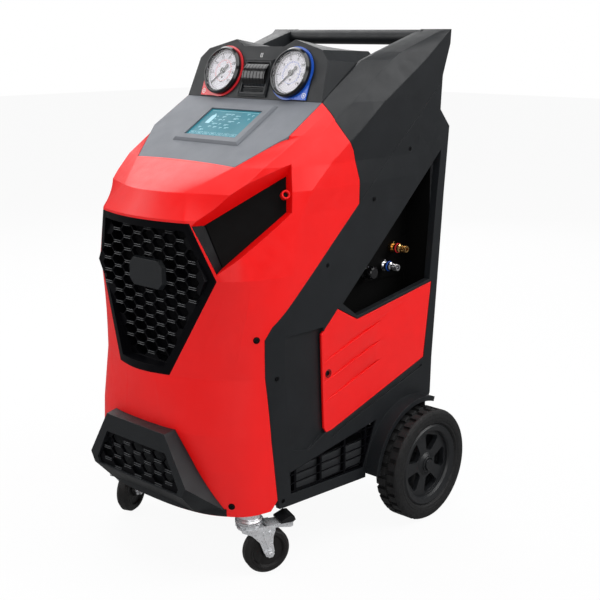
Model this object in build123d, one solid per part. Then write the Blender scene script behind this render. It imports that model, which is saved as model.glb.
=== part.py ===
from build123d import *
import math
import os

os.makedirs("parts", exist_ok=True)

# Air conditioning recharge station in millimetres, +Z up, front towards -Y,
# origin on the floor below its middle.

# Clearances and walls
SEAT_GAP = 0.3
SEAM = 1.0
RUNNING_FIT = 0.05
COVER_WALL = 4.0
WING_WALL = 5.0

# Main body: heights and depths that the outline follows
BODY_BOTTOM = 118.0
COVER_BOTTOM = 136.0
REAR_LIMIT = 345.0
CONSOLE_LOW_Y, CONSOLE_LOW_Z = -203.0, 809.0
CONSOLE_TOP_Y, CONSOLE_TOP_Z = -16.0, 923.0
CONSOLE_MID_Z = 864.0
CONSOLE_LOW_HALF, CONSOLE_MID_HALF, CONSOLE_TOP_HALF = 144.0, 199.0, 197.0
NOSE_Z, CREASE_Z, TIP_Z, MESH_LOW_Z = 717.0, 763.0, 605.0, 410.0
HANDLE_Y, HANDLE_Z, HANDLE_R = 307.0, 1046.0, 16.0
WING_INNER_X = 184.0
FRAME_INNER_X = 229.0

# Front mesh and bumper
MESH_TOP_HALF, MESH_TIP_HALF, MESH_LOW_HALF = 130.0, 177.0, 76.0
MESH_BORDER = 15.0
MESH_DEPTH = 9.0
HEX_PITCH_X, HEX_PITCH_Z, HEX_WALL = 32.0, 25.0, 3.4
BUMPER_FRONT_Y, BUMPER_BACK_Y = -350.0, -255.0
BUMPER_POCKET = 19.0

# Instrument panel
PANEL_TILT = 20.0
PANEL_DEPTH = 196.0
PANEL_WALL = 4.0
GAUGE_X, GAUGE_V = 100.0, 56.0
GAUGE_DIAL_R, GAUGE_BEZEL_R, GAUGE_CASE_R = 44.0, 51.5, 47.0
GAUGE_BEZEL_H, GAUGE_CASE_DEPTH = 14.0, 32.0
FLAG_R, FLAG_T = 55.5, 2.5
PRINTER_HALF_W, PRINTER_V0, PRINTER_V1 = 37.0, 8.0, 80.0
PRINTER_HINGE_V, PRINTER_PIN_R = 25.0, 1.5

# Screen
SCREEN_HALF_W, SCREEN_S0, SCREEN_S1 = 75.0, 46.0, 138.0
BEZEL_HALF_W, BEZEL_S0, BEZEL_S1, BEZEL_H = 96.0, 22.0, 156.0, 5.0

# Rear wheels and axle
WHEEL_R, WHEEL_W, WHEEL_IN_X = 125.0, 60.0, 248.0
AXLE_Y, AXLE_Z, AXLE_R = 229.0, 125.0, 10.0
RIM_R, RIM_OPEN_R, HUB_R = 92.0, 74.0, 26.0
LUG_COUNT, LUG_H = 30, 6.0
ARCH_IN_R, ARCH_OUT_R, ARCH_X0, ARCH_X1 = 138.0, 149.0, 230.0, 274.0
ARCH_A0, ARCH_A1 = 70.0, 170.0
SPOKES = 5

# Front casters
CASTER_X, CASTER_Y = 202.0, -231.0
CASTER_R, CASTER_W, CASTER_TRAIL = 48.0, 28.0, 35.0
CASTER_TURN = {"right": 67.0, "left": 113.0}
CASTER_PIN_R, CASTER_AXLE_R = 6.0, 5.0
FORK_T = 3.0
CROWN_Z = 102.0
BRAKE_PIVOT_X, BRAKE_PIVOT_Z, BRAKE_PIN_R, BRAKE_HALF_W = 42.0, 100.0, 2.5, 16.4

# Chassis
FLOOR_Z, FLOOR_T = 140.0, 6.0
CHASSIS_WALL_TOP = 205.0

# Hose pockets
POCKET_INNER_X, POCKET_WALL = 165.0, 3.0


def mirror_x(shape):
    return mirror(shape, about=Plane.YZ)


def polygon_face(points):
    return Face(Wire.make_polygon([Vector(*p) for p in points], close=True))


def prism_x(points, x0, x1, grow=0.0):
    """Side view outline (y, z), grown or shrunk, between two X planes."""
    sketch = Plane.YZ * make_face(Polyline(*points, close=True))
    if grow:
        sketch = offset(sketch, grow, kind=Kind.INTERSECTION)
    return Pos(x0, 0, 0) * extrude(sketch, amount=x1 - x0, dir=(1, 0, 0))


def prism_y(points, y0, y1):
    """Front view outline (x, z) between two Y planes."""
    face = polygon_face([(x, y0, z) for x, z in points])
    return extrude(face, amount=y1 - y0, dir=(0, 1, 0))


def prism_z(points, z0, z1):
    """Plan outline (x, y) between two heights."""
    face = polygon_face([(x, y, z0) for x, y in points])
    return extrude(face, amount=z1 - z0, dir=(0, 0, 1))


def block(x0, x1, y0, y1, z0, z1):
    centre = ((x0 + x1) / 2, (y0 + y1) / 2, (z0 + z1) / 2)
    return Pos(*centre) * Box(abs(x1 - x0), abs(y1 - y0), abs(z1 - z0))


def rod(p0, p1, radius):
    start, end = Vector(*p0), Vector(*p1)
    plane = Plane(origin=start, z_dir=end - start)
    return extrude(plane * Circle(radius), amount=(end - start).length)


def mirrored_outline(half):
    """Close a right-hand outline with its mirror image across the middle."""
    return half + [(-u, v) for u, v in reversed(half)]


def save(shape, node):
    export_step(shape, f"parts/{node}.step")


def console_y(z):
    slope = (CONSOLE_TOP_Y - CONSOLE_LOW_Y) / (CONSOLE_TOP_Z - CONSOLE_LOW_Z)
    return CONSOLE_LOW_Y + (z - CONSOLE_LOW_Z) * slope


# Body outline: height, bow of the front, softness of the corners,
# then front corner, cheek, shoulder and side, and the rear half width
SMOOTH, CRISP = 0.45, 0.03
STATIONS = [
    (BODY_BOTTOM, 3, SMOOTH, [(88, -316), (160, -300), (224, -256), (240, -188)], 240),
    (230, 3, SMOOTH, [(91, -320), (162, -304), (223, -259), (241, -200)], 241),
    (300, 3, SMOOTH, [(92, -325), (160, -303), (220, -256), (242, -205)], 242),
    (MESH_LOW_Z, 14, SMOOTH, [(MESH_LOW_HALF, -321), (158, -290), (215, -244), (243, -196)], 243),
    (TIP_Z, 24, SMOOTH, [(MESH_TIP_HALF, -287), (212, -255), (228, -214), (244, -165)], 245),
    (NOSE_Z, 22, CRISP, [(122, -313), (197, -250), (226, -172), (241, -120)], 246),
    (CREASE_Z, 22, CRISP, [(94, -282), (184, -242), (223, -155), (243, -95)], 247),
    (CONSOLE_LOW_Z, 6, CRISP,
     [(CONSOLE_LOW_HALF, CONSOLE_LOW_Y), (200, -182), (219, -136), (241, -37)], 248),
    (CONSOLE_MID_Z, 0, CRISP,
     [(CONSOLE_MID_HALF, console_y(CONSOLE_MID_Z)), (211, -88), (224, -52), (246, 40)], 249),
    (CONSOLE_TOP_Z, 0, CRISP, [(CONSOLE_TOP_HALF, CONSOLE_TOP_Y), (214, 12), (231, 37), (250, 116)], 251),
    (HANDLE_Z - 45, 0, CRISP, [(190, 110), (212, 132), (234, 152), (254, 240)], 255),
    (HANDLE_Z - 28, 0, CRISP, [(190, 162), (213, 172), (236, 182), (255, 262)], 256),
    (HANDLE_Z + 17, 0, CRISP, [(200, HANDLE_Y + 6), (220, HANDLE_Y + 8), (240, HANDLE_Y + 10),
                               (258, HANDLE_Y + 12)], 258),
]


def rounded_ring(corners, cuts):
    """Closed outline whose corners are rounded, each by its own cut along the sides beside it."""
    edges = []
    count = len(corners)
    starts, ends = [], []
    for i, corner in enumerate(corners):
        before, after = corners[i - 1], corners[(i + 1) % count]
        starts.append(corner + (before - corner).normalized() * cuts[i])
        ends.append(corner + (after - corner).normalized() * cuts[i])
    for i, corner in enumerate(corners):
        if cuts[i]:
            edges.append(Edge.make_bezier(starts[i], corner, ends[i]))
        edges.append(Edge.make_line(ends[i], starts[(i + 1) % count]))
    return Wire(edges)


def body_section(station, inset):
    z, bow, softness, half, rear_half = station
    right = [Vector(x - inset, y + inset, z) for x, y in half]
    rear = Vector(rear_half - inset, REAR_LIMIT - inset, z)
    middle_share = 0.97 - softness
    middle = Vector(0, right[0].Y - bow / (1 - middle_share / 2), z)
    chain = [middle] + right + [rear]
    sides = [(b - a).length for a, b in zip(chain, chain[1:])]
    cuts = [softness * min(a, b) for a, b in zip(sides, sides[1:])]
    corners = chain + [Vector(-p.X, p.Y, z) for p in reversed(chain[1:])]
    ring_cuts = [middle_share * sides[0]] + cuts + [0, 0] + list(reversed(cuts))
    return rounded_ring(corners, ring_cuts)


def body_envelope(inset=0.0):
    """Outer form of the whole body, moved inwards by the given wall."""
    return Solid.make_loft([body_section(s, inset) for s in STATIONS], ruled=True)


# Outlines seen from the side (y, z)
RED_REAR_EDGE = [(-188, 155), (-205, 287), (-214, 412), (-212, 487), (-197, 511), (46, 722), (45, 770),
                 (26, 830), (-11, 888), (CONSOLE_TOP_Y, CONSOLE_TOP_Z)]
WING_LINE = [(46, 726), (303, 957)]
WING_REAR = [(322, HANDLE_Z - 12), (303, HANDLE_Z - 78)]
REAR_EDGE = [(303, 897), (338, 860), (306, 345), (305, 262)]
CAVITY = [(313, 812), (191, 697), (-2, 524), (45, 490), (288, 528)]
PANEL = [(-17, 517), (45, 484), (296, 523), (276, 351), (-28, 261), (-46, 259), (-55, 272), (-66, 472)]
VENT = [(-155, 204), (-130, 208), (116, 246), (74, 147), (-151, 157)]
FACET = [(-176, 486), (-60, 486), (-48, 262), (-100, 238), (-150, 250), (-172, 290)]
GROOVE = [(-30, 249), (16, 266), (116, 294), (270, 337), (270, 332), (116, 289), (16, 261), (-30, 244)]
FRAME_SCREWS = [(205, 820), (93, 726), (-49, 610), (-190, 408), (-173, 149)]
COVER_SCREW = (-43, 386)
SCREW_CUP_R, SCREW_CUP_DEPTH = 5.0, 4.0


# Slot beside the grille: a sloping mouth that narrows towards a dark plate
SLOT_PLANE = Plane(origin=(190, -235, 700), x_dir=(0.53, 0.80, 0), z_dir=(0.80, -0.53, 0.28))
SLOT_MOUTH = [(-112.7, 17.5), (114.4, 139.7), (117.9, 20.8), (-56.4, -95.9)]
SLOT_THROAT = [(-76.1, 4.6), (99.9, 99.9), (96.1, 31.2), (-44.2, -78.3)]
SLOT_PROUD, SLOT_DEPTH, SLOT_WALL = 22.0, 24.0, 3.2


def slot_outline(points, level, grow):
    sketch = make_face(Polyline(*points, close=True))
    if grow:
        sketch = offset(sketch, grow, kind=Kind.INTERSECTION)
    return SLOT_PLANE * Pos(0, 0, level) * sketch.face()


def slot_funnel(grow=0.0):
    return loft([slot_outline(SLOT_MOUTH, SLOT_PROUD, grow), slot_outline(SLOT_THROAT, -SLOT_DEPTH, grow)],
                ruled=True)


def slot_plug():
    """Everything that is open in the slot, from outside the cover to just behind the throat."""
    behind = extrude(slot_outline(SLOT_THROAT, -SLOT_DEPTH, 0), amount=5, dir=-SLOT_PLANE.z_dir)
    return slot_funnel() + behind


def slot_back():
    """Dark plate over the throat of the slot."""
    face = slot_outline(SLOT_THROAT, -SLOT_DEPTH - SEAT_GAP, SLOT_WALL - SEAT_GAP)
    plate = extrude(face, amount=3, dir=-SLOT_PLANE.z_dir)
    return plate - prism_y(mesh_outline(SEAM), -420, -200)


def mesh_outline(grow):
    return mirrored_outline([(MESH_TOP_HALF + grow * 0.8, NOSE_Z - 5 + grow),
                             (MESH_TIP_HALF + grow * 1.1, TIP_Z),
                             (MESH_LOW_HALF + grow * 0.8, MESH_LOW_Z - grow)])


def front_cover():
    above = CONSOLE_TOP_Z + 67
    outline = [(-420, COVER_BOTTOM), (-204, COVER_BOTTOM)] + RED_REAR_EDGE
    outline += [(CONSOLE_TOP_Y, above), (-420, above)]
    shell = body_envelope() - body_envelope(COVER_WALL)
    cover = shell & prism_x(outline, -300, 300)
    cover -= prism_z(console_outline(SEAM / 2), CONSOLE_LOW_Z - 29, above)
    rim = slot_funnel(SLOT_WALL) & body_envelope()
    cover = cover + rim + mirror_x(rim) - slot_plug() - mirror_x(slot_plug())
    return cover - prism_y(mesh_outline(0), -420, -225)


def console_outline(grow):
    return mirrored_outline([(CONSOLE_TOP_HALF - 2 + grow, CONSOLE_TOP_Y + 30),
                             (CONSOLE_TOP_HALF + grow, CONSOLE_TOP_Y),
                             (CONSOLE_MID_HALF + grow, console_y(CONSOLE_MID_Z)),
                             (CONSOLE_LOW_HALF + grow, CONSOLE_LOW_Y - grow)])


CONSOLE = Plane(origin=(0, CONSOLE_TOP_Y, CONSOLE_TOP_Z), x_dir=(-1, 0, 0),
                z_dir=(0, -(CONSOLE_TOP_Z - CONSOLE_LOW_Z), CONSOLE_TOP_Y - CONSOLE_LOW_Y))


def console_rect(half_w, s0, s1, h0, h1):
    """Block on the console, s measured down its slope from the top edge."""
    centre = Pos(0, (s0 + s1) / 2, (h0 + h1) / 2)
    return CONSOLE * (centre * Box(2 * half_w, s1 - s0, h1 - h0))


def console_panel():
    length = math.hypot(CONSOLE_TOP_Y - CONSOLE_LOW_Y, CONSOLE_TOP_Z - CONSOLE_LOW_Z)
    slab = CONSOLE * (Pos(0, length / 2, -COVER_WALL / 2) * Box(600, length - SEAM, COVER_WALL))
    panel = slab & prism_z(console_outline(-SEAM / 2), CONSOLE_LOW_Z - 29, CONSOLE_TOP_Z + 67)
    panel -= block(-300, 300, CONSOLE_TOP_Y - SEAM / 2, 200, 700, 1000)
    return panel - console_rect(SCREEN_HALF_W + 3, SCREEN_S0 - 3, SCREEN_S1 + 3, -10, 10)


def screen_bezel():
    base = Plane(CONSOLE.origin, x_dir=CONSOLE.x_dir, z_dir=CONSOLE.z_dir)
    low = base * (Pos(0, (BEZEL_S0 + BEZEL_S1) / 2, SEAT_GAP)
                  * Rectangle(2 * BEZEL_HALF_W, BEZEL_S1 - BEZEL_S0))
    high = base * (Pos(0, (BEZEL_S0 + BEZEL_S1) / 2, BEZEL_H)
                   * Rectangle(2 * BEZEL_HALF_W - 10, BEZEL_S1 - BEZEL_S0 - 10))
    frame = loft([low, high], ruled=True)
    return frame - console_rect(SCREEN_HALF_W, SCREEN_S0, SCREEN_S1, -10, 20)


def touchscreen():
    return console_rect(SCREEN_HALF_W - SEAT_GAP, SCREEN_S0 + SEAT_GAP, SCREEN_S1 - SEAT_GAP, -3, 2)


# Front mesh
def hex_cell(cx, cz, y0, y1):
    """Flat-topped long hexagon hole."""
    half_l = HEX_PITCH_X * 2 / 3 - HEX_WALL / 2
    half_s = half_l * 0.5
    half_h = (HEX_PITCH_Z - HEX_WALL) / 2
    points = [(-half_l, 0), (-half_s, half_h), (half_s, half_h), (half_l, 0), (half_s, -half_h),
              (-half_s, -half_h)]
    return prism_y([(cx + x, cz + z) for x, z in points], y0, y1)


def inside(point, outline, margin):
    """Whether a point lies inside a convex outline by at least the margin."""
    x, z = point
    signs = []
    for (x0, z0), (x1, z1) in zip(outline, outline[1:] + outline[:1]):
        length = math.hypot(x1 - x0, z1 - z0)
        signs.append(((x1 - x0) * (z - z0) - (z1 - z0) * (x - x0)) / length)
    return all(s <= -margin for s in signs) or all(s >= margin for s in signs)


def hex_mesh(outline, centre, y0, y1, keep_clear, plate_half):
    """Slab with the outline, pierced by staggered hexagons except under the plate."""
    slab = prism_y(outline, y0, y1)
    cells = []
    for col in range(-8, 9):
        for row in range(-9, 10):
            cx = centre[0] + col * HEX_PITCH_X
            cz = centre[1] + (row + (col % 2) / 2) * HEX_PITCH_Z
            under_plate = abs(cx) < plate_half[0] and abs(cz - centre[1]) < plate_half[1]
            if inside((cx, cz), outline, keep_clear) and not under_plate:
                cells.append(hex_cell(cx, cz, y0 - 5, y1 + 5))
    return slab - Compound(cells)


MESH_Y = -300.0
PLATE_HALF_W, PLATE_HALF_H, PLATE_Z = 52.0, 30.0, 600.0


def front_grille():
    """Angular surround, as deep as the cover's bow, with a set-back hexagon mesh and a dark mat behind."""
    outer = prism_y(mesh_outline(-SEAT_GAP), -420, -245)
    ring = outer - prism_y(mesh_outline(-MESH_BORDER), -420, -245)
    surround = ring & (body_envelope() - body_envelope(24))
    mesh = hex_mesh(mesh_outline(-MESH_BORDER + 1), (0, PLATE_Z), MESH_Y, MESH_Y + MESH_DEPTH, 6.5,
                    (PLATE_HALF_W - 8, PLATE_HALF_H - 8))
    rim_outline = mesh_outline(-MESH_BORDER + 4)
    collar = prism_y(rim_outline, -330, -262) - prism_y(mesh_outline(-MESH_BORDER), -340, -250)
    filter_mat = prism_y(rim_outline, -266, -262)
    return surround + ((collar + filter_mat) & body_envelope(6)) + mesh


def badge_plate():
    corner = 13.0
    w, h = PLATE_HALF_W, PLATE_HALF_H
    outline = [(-w + corner, h), (w - corner, h), (w, h - corner), (w, -h + corner), (w - corner, -h),
               (-w + corner, -h), (-w, -h + corner), (-w, h - corner)]
    face_y = MESH_Y - SEAT_GAP
    back = polygon_face([(x, face_y, PLATE_Z + z) for x, z in outline])
    front = polygon_face([(x * 0.94, face_y - 9, PLATE_Z + z * 0.92) for x, z in outline])
    return loft([back, front], ruled=True)


# Bumper
def bumper_front():
    return mirrored_outline([(90, 300), (150, 203), (138, 182)])


def bumper_window(grow):
    return mirrored_outline([(92 + grow, 261 + grow), (128 + grow * 1.3, 196), (122 + grow, 184 - grow)])


def bumper_block():
    back = mirrored_outline([(100, 313), (205, 125), (121, 77)])
    front_face = polygon_face([(x, BUMPER_FRONT_Y, z) for x, z in bumper_front()])
    back_face = polygon_face([(x, BUMPER_BACK_Y, z) for x, z in back])
    return loft([back_face, front_face], ruled=True)


def bumper():
    body = bumper_block() - body_envelope(-SEAT_GAP)
    body -= block(-300, 300, -400, -200, 0, COVER_BOTTOM + 1)
    body -= prism_y(bumper_window(0), -380, BUMPER_FRONT_Y + BUMPER_POCKET)
    return body


def bumper_grille():
    y0 = BUMPER_FRONT_Y + 5
    return hex_mesh(bumper_window(-SEAT_GAP), (0, 224), y0, y0 + 5.5, 6.0, (0, 0))


# Wings beside the handle, and the lower side frames
def side_wing():
    lower = RED_REAR_EDGE[5:]
    outline = [(y + SEAM, z) for y, z in lower]
    top = HANDLE_Z + 54
    outline += [(CONSOLE_TOP_Y + SEAM, top), (420, top), (420, WING_REAR[0][1]), *WING_REAR, (303, 957)]
    outline.append((WING_LINE[0][0] + 3, WING_LINE[0][1]))
    region = prism_x(outline, WING_INNER_X, 300)
    rear_cut = prism_x([(322, top), *WING_REAR, (303, 700), (420, 700), (420, top)], 150, 320)
    wing = (body_envelope() & region) - rear_cut
    hollow = body_envelope(WING_WALL) & block(WING_INNER_X + WING_WALL, 300, -100, 400, 600, top)
    hollow = hollow - block(150, 320, 303 - WING_WALL, 420, 400, top)
    wing -= hollow
    socket = rod((WING_INNER_X - 5, HANDLE_Y, HANDLE_Z), (WING_INNER_X + 12, HANDLE_Y, HANDLE_Z),
                 HANDLE_R + RUNNING_FIT)
    return wing - socket - housing_solid(-SEAM)


def side_frame():
    front = [(y + SEAM, z) for y, z in RED_REAR_EDGE[:6]]
    outline = [(-182, 135)] + front + [(WING_LINE[0][0] + 3, WING_LINE[0][1] - SEAM),
                                       (303, 957 - SEAM)] + REAR_EDGE + [(229, 125), (95, 122)]
    frame = body_envelope() & prism_x(outline, FRAME_INNER_X, 300)
    frame -= Pos(FRAME_INNER_X + 30, AXLE_Y, AXLE_Z) * Rot(0, 90, 0) * Cylinder(ARCH_OUT_R - 2, 80)
    frame -= prism_x(CAVITY, 200, 300)
    frame -= prism_x(PANEL, FRAME_INNER_X + 7, 300)
    frame -= prism_x(VENT, 200, 300)
    frame -= facet_cut()
    frame -= prism_x(GROOVE, 238.5, 300)
    for y, z in FRAME_SCREWS:
        frame -= screw_cup(y, z, SCREW_CUP_R)
    return frame + arch_lip()


def screw_cup(y, z, radius):
    """Blind hole from the side, as deep as the cup, at the flat of the body side."""
    surface_x = 240.0 + (z - BODY_BOTTOM) * 0.0105
    return Pos(surface_x - SCREW_CUP_DEPTH + 15, y, z) * Rot(0, 90, 0) * Cylinder(radius, 30)


def arch_lip():
    ring = Plane.YZ * (Circle(ARCH_OUT_R) - Circle(ARCH_IN_R))
    reach = 400
    steps = 6
    fan = [(0, 0)]
    for i in range(steps + 1):
        a = math.radians(ARCH_A0 + (ARCH_A1 - ARCH_A0) * i / steps)
        fan.append((reach * math.cos(a), reach * math.sin(a)))
    sector = Plane.YZ * Face(Wire.make_polygon([Vector(u, v, 0) for u, v in fan], close=True))
    lip = extrude(ring & sector, amount=ARCH_X1 - ARCH_X0, dir=(1, 0, 0))
    return Pos(ARCH_X0, AXLE_Y, AXLE_Z) * lip


def facet_cut():
    """Sloped recess between the front band and the side cover."""
    wedge = prism_z([(243.5, -176), (270, -176), (270, -40), (234, -40), (234, -60)], 230, 490)
    return wedge & prism_x(FACET, 200, 300)


def side_panel():
    panel = body_envelope(0.5) & prism_x(PANEL, FRAME_INNER_X + 7 + SEAT_GAP, 300, -SEAM)
    for tip_z in (463, 422, 378):
        panel -= scallop(tip_z)
    return panel - screw_cup(*COVER_SCREW, SCREW_CUP_R + 2)


def scallop(tip_z):
    """Tapered scoop, deepest along its lower edge, sharp at its rear tip."""
    tip_y, front_y, drop, width = 126.0, -58.0, 84.0, 34.0
    outer_x = 242.8
    low = prism_x([(tip_y, tip_z), (front_y, tip_z - drop), (front_y, tip_z - drop + width)],
                  outer_x, outer_x + 30)
    hinge = Axis((outer_x, tip_y, tip_z), (0, front_y - tip_y, -drop + width))
    return low.rotate(hinge, -8.0)


def side_louvre():
    region = prism_x(VENT, FRAME_INNER_X, FRAME_INNER_X + 9, -SEAT_GAP)
    bars = [block(225, 245, y - 3, y + 3, 120, 260) for y in (-136, -60, 15, 83)]
    rim = region - prism_x(VENT, 200, 300, -3)
    for z in (157, 175, 193, 211, 229):
        slat = Pos(FRAME_INNER_X + 5, 0, z) * Rot(0, -35, 0) * Box(11, 300, 2.2)
        bars.append(slat)
    return rim + (Compound(bars) & region)


def hose_pocket():
    """Moulded tray behind the side opening."""
    outer = [(302, 812), (290, 812), (186, 712), (-18, 529), (-24, 470), (302, 470)]
    cy, cz = 150.0, 590.0
    inner = []
    for y, z in outer:
        inner.append((y - math.copysign(POCKET_WALL, y - cy), z - math.copysign(POCKET_WALL, z - cz)))
    tray = prism_x(outer, POCKET_INNER_X - POCKET_WALL, FRAME_INNER_X - SEAT_GAP)
    tray -= prism_x(inner, POCKET_INNER_X, 300)
    return tray


def port_pocket():
    """The pocket on the hose side, with the raised plate that carries the two ports."""
    outline = [(288, 770), (280, 775), (150, 655), (60, 572), (60, 530), (282, 530), (288, 536)]
    return hose_pocket() + prism_x(outline, POCKET_INNER_X, POCKET_INNER_X + PORT_PLATE_T)


PORT_Y, PORT_HIGH_Z, PORT_LOW_Y, PORT_LOW_Z = 246.0, 596.0, 216.0, 560.0
PORT_PLATE_T, PORT_REACH, PORT_R = 3.0, 44.0, 7.0


def service_port(y, z):
    """Quick coupler: hexagon, barrel with grooves, open nose."""
    x0 = POCKET_INNER_X + PORT_PLATE_T + SEAT_GAP
    profile = [(0, 0), (11, 0), (11, 8), (8.5, 8), (8.5, 14), (10, 14), (10, 26), (PORT_R, 28),
               (PORT_R, PORT_REACH), (4.0, PORT_REACH), (4.0, 30), (0, 30)]
    face = Plane.XZ * Face(Wire.make_polygon([Vector(r, h, 0) for r, h in profile], close=True))
    turned = revolve(face, Axis.Z)
    nut = extrude(RegularPolygon(13, 6), amount=8)
    return Pos(x0, y, z) * Rot(0, 90, 0) * (turned + nut)


# Instrument housing
PANEL_PLANE = Plane(origin=(0, CONSOLE_TOP_Y, CONSOLE_TOP_Z), x_dir=(1, 0, 0),
                    z_dir=(0, -math.cos(math.radians(PANEL_TILT)), math.sin(math.radians(PANEL_TILT))))
HOUSING_FRONT = [(CONSOLE_TOP_HALF, 0), (CONSOLE_TOP_HALF - 11, 85), (CONSOLE_TOP_HALF - 32, 106),
                 (86, 127), (59, 112)]
HOUSING_REAR = [(CONSOLE_TOP_HALF - 14, 935), (CONSOLE_TOP_HALF - 14, 990), (CONSOLE_TOP_HALF - 47, 1018),
                (86, 1018), (59, 1016)]


def housing_solid(inset):
    """Housing block moved inwards by a wall, with its underside always pushed down."""
    front = [(x - inset, v - inset if v else min(inset, 0)) for x, v in HOUSING_FRONT]
    rear = [(x - inset, z - inset) for x, z in HOUSING_REAR]
    rear[0] = (rear[0][0], HOUSING_REAR[0][1] - abs(inset))
    front_wire = PANEL_PLANE * Wire.make_polygon([Vector(x, v, -inset) for x, v in mirrored_outline(front)],
                                                 close=True)
    rear_y = CONSOLE_TOP_Y + PANEL_DEPTH - inset
    rear_wire = Wire.make_polygon([Vector(x, rear_y, z) for x, z in mirrored_outline(rear)], close=True)
    return Solid.make_loft([front_wire, rear_wire], ruled=True)


def on_panel(x, v, h=0.0):
    return PANEL_PLANE * Pos(x, v, h)


def instrument_panel():
    housing = housing_solid(0) - housing_solid(PANEL_WALL)
    for sign in (1, -1):
        housing -= on_panel(sign * GAUGE_X, GAUGE_V) * Cylinder(GAUGE_CASE_R + SEAT_GAP, 30)
    printer_v = (PRINTER_V0 + PRINTER_V1) / 2
    housing -= on_panel(0, printer_v) * Box(2 * PRINTER_HALF_W, PRINTER_V1 - PRINTER_V0, 30)
    return housing


def revolved(profile):
    face = Plane.XZ * Face(Wire.make_polygon([Vector(r, h, 0) for r, h in profile], close=True))
    return revolve(face, Axis.Z)


def gauge_case(sign):
    base = FLAG_T + 2 * SEAT_GAP
    top = GAUGE_BEZEL_H
    well = GAUGE_DIAL_R + SEAT_GAP
    profile = [(0, -GAUGE_CASE_DEPTH), (GAUGE_CASE_R - 6, -GAUGE_CASE_DEPTH),
               (GAUGE_CASE_R, -GAUGE_CASE_DEPTH + 6), (GAUGE_CASE_R, base), (GAUGE_BEZEL_R, base),
               (GAUGE_BEZEL_R, top - 4), (GAUGE_BEZEL_R - 4, top),
               (well + 1.5, top), (well, top - 2), (well, 2), (0, 2)]
    return on_panel(sign * GAUGE_X, GAUGE_V) * revolved(profile)


def gauge_dial(sign):
    return on_panel(sign * GAUGE_X, GAUGE_V, 2 + 0.5) * Cylinder(GAUGE_DIAL_R, 1.0)


def gauge_lens(sign):
    dish = revolved([(0, 9.5), (GAUGE_DIAL_R, 9.5), (GAUGE_DIAL_R, 11), (GAUGE_DIAL_R - 4, 12), (0, 12)])
    return on_panel(sign * GAUGE_X, GAUGE_V) * dish


NEEDLE_REST = 225.0


def gauge_needle(sign):
    """Tapered pointer on its hub, pointing at the lower left of the dial."""
    blade = Polyline((-14, -2.6), (-14, 2.6), (0, 2.0), (38, 0.6), (38, -0.6), (0, -2.0), close=True)
    pointer = extrude(make_face(blade), amount=1.2)
    hub = Pos(0, 0, 1.0) * Cylinder(6, 3.4)
    tail = Pos(-14, 0, 0.6) * Cylinder(4, 1.2)
    return on_panel(sign * GAUGE_X, GAUGE_V, 4.2) * Rot(0, 0, NEEDLE_REST) * (pointer + hub + tail)


def gauge_flag(sign):
    """Coloured backing plate with one square lower corner."""
    corner = GAUGE_V - 2
    plate = Circle(FLAG_R) + Pos(sign * corner / 2, -corner / 2) * Rectangle(corner, corner)
    plate -= Circle(GAUGE_CASE_R + SEAT_GAP)
    return on_panel(sign * GAUGE_X, GAUGE_V, SEAT_GAP) * extrude(plate, amount=FLAG_T)


def printer_frame():
    """Surround with the roll pocket, a lower tray below the hinge, and the two hinge bores."""
    w, v0, v1 = PRINTER_HALF_W, PRINTER_V0, PRINTER_V1
    mid = (v0 + v1) / 2
    pocket_v0, pocket_v1 = PRINTER_HINGE_V - 2, v1 - 4
    tray_v0, tray_v1 = v0 + 4, PRINTER_HINGE_V - 1
    body = on_panel(0, mid, -14) * Box(2 * (w - SEAT_GAP), v1 - v0 - 2 * SEAT_GAP, 36)
    flange = on_panel(0, mid, SEAT_GAP + 1.5) * Box(2 * w + 8, v1 - v0 + 8, 3)
    pocket = on_panel(0, (pocket_v0 + pocket_v1) / 2, 0) * Box(2 * w - 8, pocket_v1 - pocket_v0, 50)
    tray = on_panel(0, (tray_v0 + tray_v1) / 2, 6) * Box(2 * w - 8, tray_v1 - tray_v0, 12)
    bores = hinge_pin(PRINTER_PIN_R + RUNNING_FIT, w - 1)
    return body + flange - pocket - tray - bores


def hinge_pin(radius, half):
    return on_panel(0, PRINTER_HINGE_V) * Rot(0, 90, 0) * Cylinder(radius, 2 * half)


def printer_cover():
    """Ribbed roll cover, hinged on a pin along its lower edge."""
    half = PRINTER_HALF_W - 4 - SEAT_GAP * 2
    v0, v1 = PRINTER_HINGE_V, PRINTER_V1 - 6
    bow = ThreePointArc((v0, 0.0), ((v0 + v1) / 2, 12.0), (v1, 3.0))
    inner = ThreePointArc((v1 - 2, 0.0), ((v0 + v1) / 2, 9.0), (v0 + 2.5, -2.0))
    outline = Wire([bow.edge(), Edge.make_line(bow @ 1, inner @ 0), inner.edge(),
                    Edge.make_line(inner @ 1, bow @ 0)])
    shell = Plane.YZ * Face(outline)
    cover = Pos(-half, 0, 0) * extrude(shell, amount=2 * half, dir=(1, 0, 0))
    ribs = []
    for i in range(7):
        x = -half + 4 + i * (2 * half - 8) / 6
        ribs.append(Pos(x - 0.8, 0, 0.9) * extrude(shell, amount=1.6, dir=(1, 0, 0)))
    return PANEL_PLANE * (cover + ribs) + hinge_pin(PRINTER_PIN_R, PRINTER_HALF_W - 1.5)


# Handle
def handle_bar():
    end = WING_INNER_X + 11
    return rod((-end, HANDLE_Y, HANDLE_Z), (end, HANDLE_Y, HANDLE_Z), HANDLE_R)


REAR_SHEET_Y, REAR_SHEET_T = 303.0, 3.0
INLET_X, INLET_Z = -60.0, 230.0
SWITCH_X = 10.0
ROCKER_TILT, ROCKER_PIN_R = 9.0, 1.5


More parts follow.
